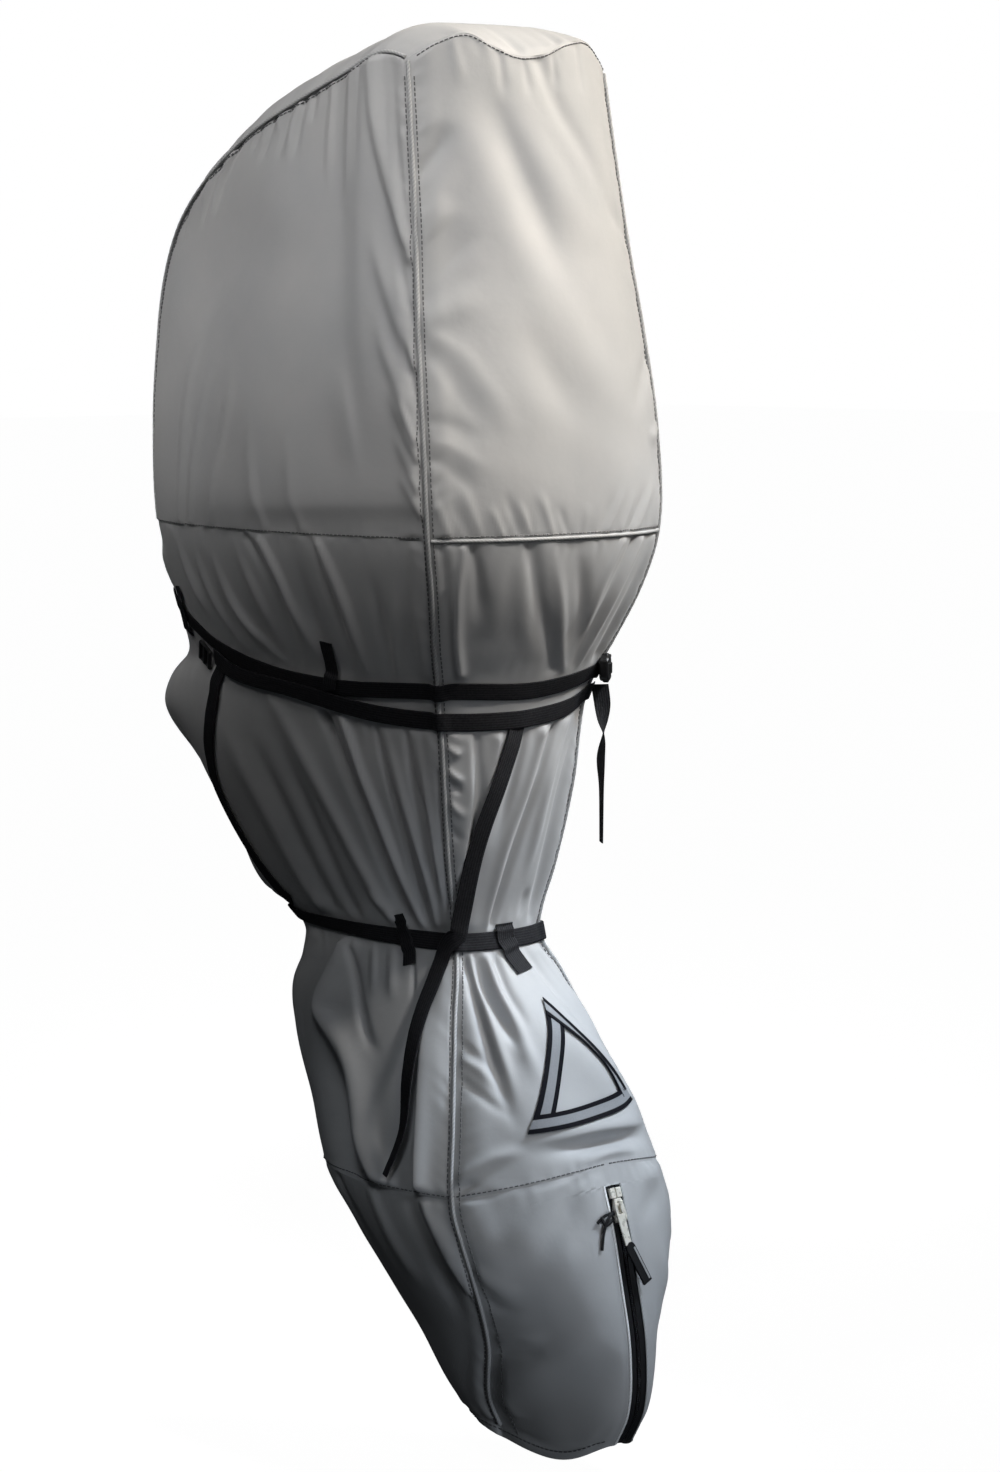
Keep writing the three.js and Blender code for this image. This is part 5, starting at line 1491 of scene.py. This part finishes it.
# the lower strand climbs over the top end of the slanting strap
strapTop = {"at": -0.16, "rise": 1.9, "reach": 0.2}
strandGirths = allGirths[(allGirths > -1.62) & (allGirths <= 1)]
climb = layer * smoothStep(-strandGirths, 1.06, 1.16)
climb = climb + strapTop["rise"] * bell(strandGirths - strapTop["at"], strapTop["reach"])
addBelt("lowerStrand", "belt_lower_strand", "lower", strandGirths, climb)

# straps as (girth, drop, twist on edge in degrees)
straps = {
    "hump": 4.4,
    "humpReach": 14,
    "clear": 2.6,
    "tucked": 0.6,  # clear of the cloth under the lower strand
    "tuckedTo": (752, 775),
    "overBelt": (12, 24),
    "frontClear": 0.4,
    "frontRise": 2.0,
    "frontFrom": (706, 730),
    "frontTo": (925, 965),
    "slant": [
        (-0.15, 742, 0), (-0.22, 760, 0), (-0.42, 810, 0), (-0.63, 866, 0), (-0.82, 930, 0), (-0.98, 978, 0),
        (-1.035, 1002, 0), (-1.07, 1030, 0), (-1.105, 1084, -6), (-1.12, 1130, -18), (-1.142, 1184, -32),
        (-1.2, 1232, -34),
    ],
    "front": [
        (-1.6, 706, 0), (-1.595, 722, 0), (-1.59, 745, 0), (-1.615, 775, 0), (-1.69, 815, 0), (-1.74, 855, 0),
        (-1.745, 910, 0), (-1.70, 974, 0),
    ],
}


def turnAbout(vectors, axes, angles):
    cosine = np.cos(angles)[:, None]
    sine = np.sin(angles)[:, None]
    dots = np.sum(vectors * axes, axis=1, keepdims=True)
    return vectors * cosine + np.cross(axes, vectors) * sine + axes * dots * (1 - cosine)


# highest fold under a strap's width, smoothed along it
def foldsUnder(girth, drop, halfWidth):
    highest = np.full_like(drop, -np.inf)
    for offset in (-halfWidth, 0, halfWidth):
        aside = girth + offset / np.where(np.abs(girth) <= 1, sectionAt(drop)[:, 0], sideLength(drop))
        onAft = creaseHeight(aside, drop, legAft["creases"])
        onPort = creaseHeight(aside, drop, legPort["creases"])
        height = np.where(np.abs(aside) <= 1, onAft, onPort) * beltRoom(aside, drop)
        highest = np.maximum(highest, height * smoothStep(cornerDistance(aside, drop), 1, 7))
    return np.convolve(np.pad(highest, 6, mode="edge"), np.ones(13) / 13, mode="valid")

def addStrap(name, node, rows, liftAt):
    girth, drop, twist = resample(rows, 90).T
    twist = np.radians(twist)
    lift = foldsUnder(girth, drop, belts["width"] / 2) + belts["thick"] / 2 + liftAt(girth, drop, twist)
    centres, away = lifted(girth, drop, lift)
    forward = unit(np.gradient(centres, axis=0))
    across = turnAbout(unit(np.cross(forward, away)), forward, -twist)
    addWebbing(name, node, (centres, across, np.cross(across, forward)))


def slantLift(girth, drop, twist):
    hump = straps["hump"] * bell(cornerDistance(girth, drop), straps["humpReach"])
    overBelt = layer * (1 - smoothStep(np.abs(drop - beltDrop("ankle", girth)), *straps["overBelt"]))
    onEdge = belts["width"] / 2 * np.sin(np.abs(twist))
    clear = straps["tucked"] + (straps["clear"] - straps["tucked"]) * smoothStep(drop, *straps["tuckedTo"])
    return clear + hump + overBelt + onEdge


def frontLift(girth, drop, twist):
    free = smoothStep(drop, *straps["frontFrom"]) * (1 - smoothStep(drop, *straps["frontTo"]))
    return straps["frontClear"] + straps["frontRise"] * free


addStrap("slantStrap", "slant_strap", straps["slant"], slantLift)
addStrap("frontStrap", "front_strap", straps["front"], frontLift)

# loops: node, belt, girth, reach above and below it, lean of the belt there, slant at the foot, width
beltLoops = {
    "thick": 1.4,
    "easeOff": 6,
    "loops": [
        ("belt_loop_upper_port", "upper", -1.245, 50, 3, 0, 2, 18),
        ("belt_loop_upper_fore", "upper", -1.72, 32, 24, 7, -6, 18),
        ("belt_loop_ankle_port", "ankle", -1.185, 25, 28, 0, 2, 17),
        ("belt_loop_ankle_aft", "ankle", -0.12, 18, 34, 0, 12, 25),
    ],
}


def addLoop(node, belt, girth, above, below, lean, slant, width):
    reach = np.linspace(-above, below, 60)
    drop = beltDrop(belt, np.array(girth)) + reach
    perGirth = sectionAt(drop)[:, 0] if abs(girth) <= 1 else sideLength(drop)
    girths = girth + slant * np.maximum(reach / below, 0) / perGirth
    half = belts["width"] / 2 + lean
    overBelt = 1 - smoothStep(np.abs(reach), half, half + beltLoops["easeOff"])
    lift = belts["clear"] + (layer + belts["clear"]) * overBelt + beltLoops["thick"] / 2
    centres, away = lifted(girths, drop, lift)
    first, *others = node.split("_")
    name = first + "".join(word.capitalize() for word in others)
    addWebbing(name, node, (centres, *lineAxes(centres, away)), width, beltLoops["thick"])


for loop in beltLoops["loops"]:
    addLoop(*loop)

# tail that hangs from the buckle: x, y, drop, and the way its width faces in degrees
buckleTail = [
    (124, -64, 716.6, -30), (127, -65, 738, -20), (128, -65, 756, 10), (129, -65, 775, 52),
    (126, -64, 800, 72), (127, -64, 835, 60), (127, -64, 894, 56),
]
x, y, drop, face = resample(buckleTail, 80).T
face = np.radians(face)
centres = np.stack([x, y, -drop], -1)
across = np.stack([np.cos(face), np.sin(face), np.zeros(len(face))], -1)
out = unit(np.cross(across, unit(np.gradient(centres, axis=0))))
addWebbing("buckleTail", "buckle_tail", (centres, across, out))
print("webbing done")

# reflective triangle: outer corners as (mm across, drop); each tape runs from one corner to the next
triangle = {
    "width": 17,
    "thick": 0.9,
    "lift": 0.5,
    "strips": 8,
    "steps": 70,
    "corners": [(2, 1050), (-80, 1178), (76, 1164)],
    # node, its edge, edges that it ends on, and how far in from them it ends
    "tapes": [
        ("triangle_tape_left", 0, (2, 9), (1, 9), 0.0),
        ("triangle_tape_foot", 1, (0, 0), (2, 0), 0.9),
        ("triangle_tape_right", 2, (1, 9), (0, 0), 0.9),
    ],
}
corners = np.array(triangle["corners"], float)


# where two edges cross once each is moved in by its inset
def tapeCorner(edge, inset, otherEdge, otherInset):
    lines = []
    for k, depth in ((edge, inset), (otherEdge, otherInset)):
        along = unit(corners[(k + 1) % 3] - corners[k])
        inward = np.array([along[1], -along[0]])
        if inward @ (corners.mean(axis=0) - corners[k]) < 0:
            inward = -inward
        lines.append((inward, inward @ corners[k] + depth))
    normals, offsets = zip(*lines)
    return np.linalg.solve(np.array(normals), np.array(offsets))


def addTape(node, edge, first, last, layerLift):
    shares = np.linspace(0, 1, triangle["strips"] + 1)
    insets = shares * triangle["width"]
    froms, tos = [np.array([tapeCorner(edge, inset, *end) for inset in insets]) for end in (first, last)]
    spots = froms[:, None] + (tos - froms)[:, None] * np.linspace(0, 1, triangle["steps"])[None, :, None]
    drop = spots[..., 1]
    girth = spots[..., 0] / sectionAt(drop)[..., 0]
    lift = clothHeight(girth, drop, legAft) + triangle["lift"] + triangle["thick"] + layerLift
    points = lifted(girth, drop, lift)[0]
    metres = np.linalg.norm(spots - froms[:, None], axis=-1) * mm
    uvs = np.stack([np.broadcast_to(shares[:, None], metres.shape), metres], -1)
    name = "triangleTape" + node.split("_")[-1].capitalize()
    tape = addPiece(name, gridMesh(name, toFrame(points), uvs), reflectiveTape, "reflective_tape", node)
    addThickness(tape, triangle["thick"] * mm, 0)


for tapeRow in triangle["tapes"]:
    addTape(*tapeRow)
print("triangle done")

# zip: tapes, rows of teeth and folded edges beside them, the port edge near-white as a painted highlight, in
# mm from its middle
zipper = {
    "tapeFrom": 3.0,
    "tapeThick": 1.0,
    "tapeSunk": 0.6,
    "toothPitch": 2.4,
    "tooth": (2.6, 1.3, 1.6),
    "toothAside": 0.9,
    "toothSunk": 0.2,
    "toothBevel": 0.3,
    "end": 2,
    "edgeAt": 12.2,
    "edgeWidth": 3.0,
    "edgeThick": 1.3,
    "edgeLift": 0.9,
}
zipDrops = levelDrop(np.linspace(zipTop[0], floorDrop - 1, 120), np.zeros(120))
zipLook = (blackZipTape, "zip_tape")
metalLook = (polishedNickel, "zip_metal")
plasticLook = (blackPlastic, "black_plastic")


def zipLine(across, lift):
    return lifted(across / sectionAt(zipDrops)[:, 0], zipDrops, lift)


def addZipStrip(name, middle, lift, width, thick, form, look, *nodes):
    centres, away = zipLine(middle, lift)
    mesh = sweepMesh(name, centres, *lineAxes(centres, away), width / 2, thick / 2, *form)
    addPiece(name, mesh, *look, *nodes)


tapeWidth = zipHalf - zipper["tapeFrom"]
tapeAt = (zipHalf + zipper["tapeFrom"]) / 2
for side, sign in (("Port", -1), ("Starboard", 1)):
    addZipStrip(
        "zipTape" + side, sign * tapeAt, -zipper["tapeSunk"], tapeWidth, zipper["tapeThick"], (12, 6),
        zipLook, "zip_tape_" + side.lower())


def roundEdges(bm, verts, bevel, segments):
    edges = list(dict.fromkeys(edge for vert in verts for edge in vert.link_edges))
    bmesh.ops.bevel(
        bm, geom=edges, offset=bevel * mm, offset_type="OFFSET", segments=segments, profile=0.5,
        affect="EDGES", material=-1, clamp_overlap=True)


def addZipTeeth():
    line, away = zipLine(0, -zipper["toothSunk"])
    places = np.arange(zipper["end"], lengthAlong(line)[-1] - zipper["end"], zipper["toothPitch"] / 2)
    spots, normals = spotsAlong(line, away, places)
    across, out = lineAxes(spots, normals)
    forward = np.cross(out, across)
    size = Matrix.Diagonal(Vector([value * mm for value in zipper["tooth"]])).to_4x4()
    bm = bmesh.new()
    for k, spot in enumerate(spots):
        aside = zipper["toothAside"] if k % 2 else -zipper["toothAside"]
        place = Matrix.Translation(toFrame(spot + across[k] * aside)) @ turned(across[k], forward[k], out[k])
        made = bmesh.ops.create_cube(bm, size=1, matrix=place @ size)
        roundEdges(bm, made["verts"], zipper["toothBevel"], 1)
    addPiece("zipTeeth", meshFrom("zipTeeth", bm), *zipLook, "zip_teeth")


addZipTeeth()
# the port folded edge is near-white, a painted highlight along the fold; the starboard edge keeps the
# cloth-grey piping
for side, sign, material in (("Port", -1, paintedHighlightEdge), ("Starboard", 1, pipingCloth)):
    addZipStrip(
        "zipEdge" + side, sign * zipper["edgeAt"], zipper["edgeLift"], zipper["edgeWidth"],
        zipper["edgeThick"], (10, 3), (material, "piping"))


# frame on the cloth for a hard piece: x across, y along the given way, z out
def clothMatrix(girth, drop, lift, way):
    spot, away = lifted(np.array(float(girth)), np.array(float(drop)), lift)
    along = unit(np.array(way, float) - away * np.dot(way, away))
    return Matrix.Translation(toFrame(spot)) @ turned(np.cross(along, away), along, away)


# a flat outline in mm between two heights, rounded along its edges
def plateInto(bm, outline, low, high, bevel, segments):
    verts = [bm.verts.new((x * mm, y * mm, low * mm)) for x, y in outline]
    raised = bmesh.ops.extrude_face_region(bm, geom=[bm.faces.new(verts)])
    moved = [item for item in raised["geom"] if isinstance(item, bmesh.types.BMVert)]
    bmesh.ops.translate(bm, verts=moved, vec=(0, 0, (high - low) * mm))
    made = verts + moved
    faces = dict.fromkeys(face for vert in made for face in vert.link_faces)
    bmesh.ops.recalc_face_normals(bm, faces=list(faces))
    roundEdges(bm, made, bevel, segments)


def boxOutline(left, right, low, high):
    return [(left, low), (right, low), (right, high), (left, high)]


# a hard piece of plates: outline, two heights, round of the edges and its steps
def addHard(name, place, plates, look, *nodes):
    bm = bmesh.new()
    for plate in plates:
        plateInto(bm, *plate)
    bmesh.ops.transform(bm, matrix=place, verts=bm.verts)
    addPiece(name, meshFrom(name, bm), *look, *nodes)


# plates of boxes: left, right, low, high, their two heights and the round of their edges
def boxPlates(boxes, segments):
    return [(boxOutline(*box[:4]), *box[4:], segments) for box in boxes]


# top stop, slider with its bridge, pull, bare tag and a short forked cord
upright = (0, 0, 1)
topStop = {
    "top": 1240,
    "lift": 0.2,
    "boxes": [(-8.2, -0.5, -11, 0, 0, 4.2, 1.0), (0.5, 8.2, -11, 0, 0, 4.2, 1.0)],
}
stopPlace = clothMatrix(0, topStop["top"], topStop["lift"], upright)
addHard("zipTopStop", stopPlace, boxPlates(topStop["boxes"], 3), metalLook)

slider = {
    "top": 1251,
    "lift": 0.4,
    "deep": 4.6,
    "round": 1.1,
    "outline": [
        (-5.2, 0), (5.2, 0), (7.4, -9), (8.8, -20), (7.2, -26), (4.2, -19), (0, -17),
        (-4.2, -19), (-7.2, -26), (-8.8, -20), (-7.4, -9),
    ],
    # two posts and the bridge over them
    "boxes": [
        (-2.4, 2.4, -5.4, -3, 4, 9, 0.5),
        (-2.4, 2.4, -15, -12.6, 4, 9, 0.5),
        (-2.4, 2.4, -15, -3, 7, 9, 0.8),
    ],
}
sliderPlace = clothMatrix(0, slider["top"], slider["lift"], upright)
plates = [(slider["outline"], 0, slider["deep"], slider["round"], 3), *boxPlates(slider["boxes"], 2)]
addHard("zipSlider", sliderPlace, plates, metalLook, "zip_slider")

pull = {
    "at": (-0.024, 1256),
    "lift": 5.6,
    "lean": 0.06,
    "thick": 2.0,
    "round": 0.6,
    "blade": [(-5.5, -11.5), (-4.3, -46), (4.3, -46), (5.5, -11.5)],
    # sides and top of its eye
    "boxes": [
        (-5.5, -2.9, -13, 0, 0, 2.0, 0.6),
        (2.9, 5.5, -13, 0, 0, 2.0, 0.6),
        (-5.5, 5.5, -2.6, 0, 0, 2.0, 0.6),
    ],
}
pullPlace = clothMatrix(*pull["at"], pull["lift"], (-pull["lean"], 0, 1))
plates = [(pull["blade"], 0, pull["thick"], pull["round"], 2), *boxPlates(pull["boxes"], 2)]
addHard("zipPull", pullPlace, plates, metalLook, "zip_pull")

pullTag = {
    "at": (-0.024, 1302),
    "lean": 0.42,
    "top": (0, -43, -0.6),  # where it hangs on the pull
    "length": 50,
    "half": 6.5,
    "thick": 3,
    "round": 0.8,
    "strip": (2.6, 5.0, -47, -8, 2.9, 3.3, 0.1),
}
tagPlace = clothMatrix(*pullTag["at"], 0, (-pullTag["lean"], 0, 1))
tagPlace.translation = pullPlace @ (Vector(pullTag["top"]) * mm)
half = pullTag["half"]
outline = [(-half, -pullTag["length"]), (half, -pullTag["length"])]
outline += [(half * math.cos(turn), half * math.sin(turn) - half) for turn in np.linspace(0, math.pi, 9)]
addHard("zipTag", tagPlace, [(outline, 0, pullTag["thick"], pullTag["round"], 2)], zipLook, "zip_tag")
addHard("zipTagStrip", tagPlace, boxPlates([pullTag["strip"]], 1), (pipingCloth, "zip_tape"))

# each cord end as (mm across, drop, lift)
cordEnds = {
    "form": (1.8, 0.6, 8, 3),  # half width, half thickness, sides and squareness
    "ends": [
        [(-7, 1266, 3.6), (-16, 1265, 4.5), (-24, 1267, 3.0), (-32, 1272, 1.6)],
        [(-9, 1264, 4.4), (-20, 1270, 5.2), (-27, 1283, 3.0), (-32, 1300, 1.6)],
        [(-26, 1266, 3.2), (-24, 1275, 3.8), (-17, 1274, 3.4), (-9, 1270, 2.6)],
    ],
}
cordBm = bmesh.new()
for end in cordEnds["ends"]:
    aside, drop, lift = resample(end, 24).T
    centres, away = lifted(aside / sectionAt(drop)[:, 0], drop, lift)
    mesh = sweepMesh("cordEnd", centres, *lineAxes(centres, away), *cordEnds["form"])
    cordBm.from_mesh(mesh)
    bpy.data.meshes.remove(mesh)
addPiece("zipCord", meshFrom("zipCord", cordBm), *zipLook, "zip_ribbon")
print("zip done")

# side-release buckle on the starboard corner: x across the belt, y along it, z out
buckle = {
    "at": (1.0, 697),
    "faces": (0.62, -0.78, 0.0),
    "lift": 6.6,
    "back": -3,
    "body": [
        (-9.5, -20), (9.5, -20), (13.5, -15), (14.5, -4), (12.5, 5), (6, 7), (-6, 7), (-12.5, 5),
        (-14.5, -4), (-13.5, -15),
    ],
    "bodyForm": (0, 10.5, 2.6, 4),  # two heights, round of the edges and its steps
    "prong": [(11, -9), (15.6, -7), (16.6, -1), (14.6, 5), (10.5, 9), (9.5, 4)],
    "prongForm": (2, 8.6, 1.4, 3),
    # raised panel, two rails and the two bars between them
    "boxes": [
        (-6.5, 6.5, -12, 2, 8, 12.2, 1.6),
        (-13.4, -9.4, 7.8, 21, 1.4, 8.4, 1.2),
        (9.4, 13.4, 7.8, 21, 1.4, 8.4, 1.2),
        (-13.2, 13.2, 8.4, 12.0, 1.4, 8.8, 1.2),
        (-13.2, 13.2, 17.4, 21.2, 1.4, 7.6, 1.2),
    ],
}
plates = [(buckle["body"], *buckle["bodyForm"]), *boxPlates(buckle["boxes"], 3)]
for side in (-1, 1):
    plates.append(([(side * x, y) for x, y in buckle["prong"][::side]], *buckle["prongForm"]))
faces = unit(np.array(buckle["faces"]))
along = np.array([-faces[1], faces[0], 0.0])
spot = ringPoint(*buckle["at"]) + faces * buckle["lift"] + along * buckle["back"]
bucklePlace = Matrix.Translation(toFrame(spot)) @ turned(np.cross(along, faces), along, faces)
addHard("buckle", bucklePlace, plates, plasticLook, "buckle")

# ladder lock at the end of the lower strand: two rails and three bars
ladderLock = {
    "at": (-1.665, 693),
    "lift": 2.8,
    "strand": np.array([-1.62, -1.6]),
    "boxes": [
        (-12.6, -9.4, -13.4, 13.4, -0.4, 3.4, 0.9),
        (9.4, 12.6, -13.4, 13.4, -0.4, 3.4, 0.9),
        (-12, 12, -13, -9.1, 0, 4.4, 1.2),
        (-12, 12, -3.2, 2, 0, 4.4, 1.2),
        (-12, 12, 8.5, 13, 0, 4.4, 1.2),
    ],
}
strandSpots = ringPoint(ladderLock["strand"], beltDrop("lower", ladderLock["strand"]))
lockPlace = clothMatrix(*ladderLock["at"], ladderLock["lift"], strandSpots[1] - strandSpots[0])
addHard("ladderLock", lockPlace, boxPlates(ladderLock["boxes"], 3), plasticLook, "ladder_lock")
print("hard pieces done")

# floor, light and background
studio = {
    "floorDrop": 1.56,
    "floorColor": (0.16, 0.16, 0.16, 1),
    "floorGlow": 0.985,
    "ambient": 0.02,
    "ambientColor": (0.86, 0.93, 1.0, 1),
    "backdrop": 1.0,
}
bm = bmesh.new()
bmesh.ops.create_grid(bm, x_segments=4, y_segments=4, size=40)
bmesh.ops.translate(bm, verts=bm.verts, vec=(0, 0, -studio["floorDrop"]))
floor = bpy.data.objects.new("paleFloor", meshFrom("paleFloor", bm))
floor.data.materials.append(dress(newMaterial("paleFloor")[0], {
    "Base Color": studio["floorColor"],
    "Roughness": 0.9,
    "Specular IOR Level": 0.1,
    "Emission Color": (1, 1, 1, 1),
    "Emission Strength": studio["floorGlow"],
}))
scene.collection.objects.link(floor)
floor.visible_diffuse = False  # the floor throws no light up under the cover
floor.visible_glossy = False

world = bpy.data.worlds.new("studioWorld")
scene.world = world
world.use_nodes = True
tree = world.node_tree
rays = addNode(tree, "ShaderNodeLightPath").outputs["Is Camera Ray"]
feed(tree, tree.nodes["Background"], {
    "Color": mixColors(tree, rays, studio["ambientColor"], (1, 1, 1, 1)),
    "Strength": rangeOn(tree, rays, 0, 1, studio["ambient"], studio["backdrop"]),
})

# lights: place, aim, size, power, spread in degrees and colour
lights = {
    "overheadKey": ((1.9, -0.95, 1.35), (0, 0, 0.06), 1.0, 8.6, 44, (1.0, 0.92, 0.8)),
    "hoodStern": ((0.5, -1.85, 1.6), (-0.02, -0.13, -0.52), 0.4, 0.75, 20, (1.0, 0.96, 0.9)),
    "sternPort": ((-0.5, -2.4, 0.6), (-0.05, -0.1, -0.35), 0.4, 0.24, 24, (1.0, 0.97, 0.94)),
    "portFore": ((-1.3, 0.45, 0.75), (-0.2, 0.42, -0.3), 0.4, 0.265, 22, (1.0, 0.985, 0.965)),
    "portAft": ((-1.3, 0.0, 0.75), (-0.2, -0.03, -0.3), 0.4, 0.185, 22, (1.0, 0.985, 0.965)),
    "portSky": ((-1.15, -0.9, 1.5), (-0.1, 0.1, 0.15), 0.6, 1.6, 31, (1.0, 0.985, 0.965)),
    "portLow": ((-1.0, -0.8, -0.1), (-0.12, 0.02, -1.16), 0.3, 0.072, 24, (0.9, 0.95, 1.0)),
    "flareStern": ((-0.3, -2.3, 0.2), (-0.03, -0.1, -1.1), 0.3, 0.055, 16, (0.92, 0.95, 1.0)),
    "sternSky": ((1.2, -0.9, 0.9), (0.06, -0.15, -1.03), 0.4, 0.93, 18, (0.75, 0.87, 1.0)),
    "floorFill": ((-0.1, -1.3, -1.5), (0, -0.15, -1.38), 0.5, 0.68, 60, (0.85, 0.92, 1.0)),
}
for name, (place, aim, size, power, spread, color) in lights.items():
    data = bpy.data.lights.new(name, "AREA")
    data.shape = "DISK"
    data.size = size
    data.energy = power
    data.spread = math.radians(spread)
    data.color = color
    light = bpy.data.objects.new(name, data)
    light.location = place
    light.rotation_euler = (Vector(aim) - Vector(place)).to_track_quat("-Z", "Y").to_euler()
    scene.collection.objects.link(light)

scene.view_settings.view_transform = "Standard"
print("studio done")
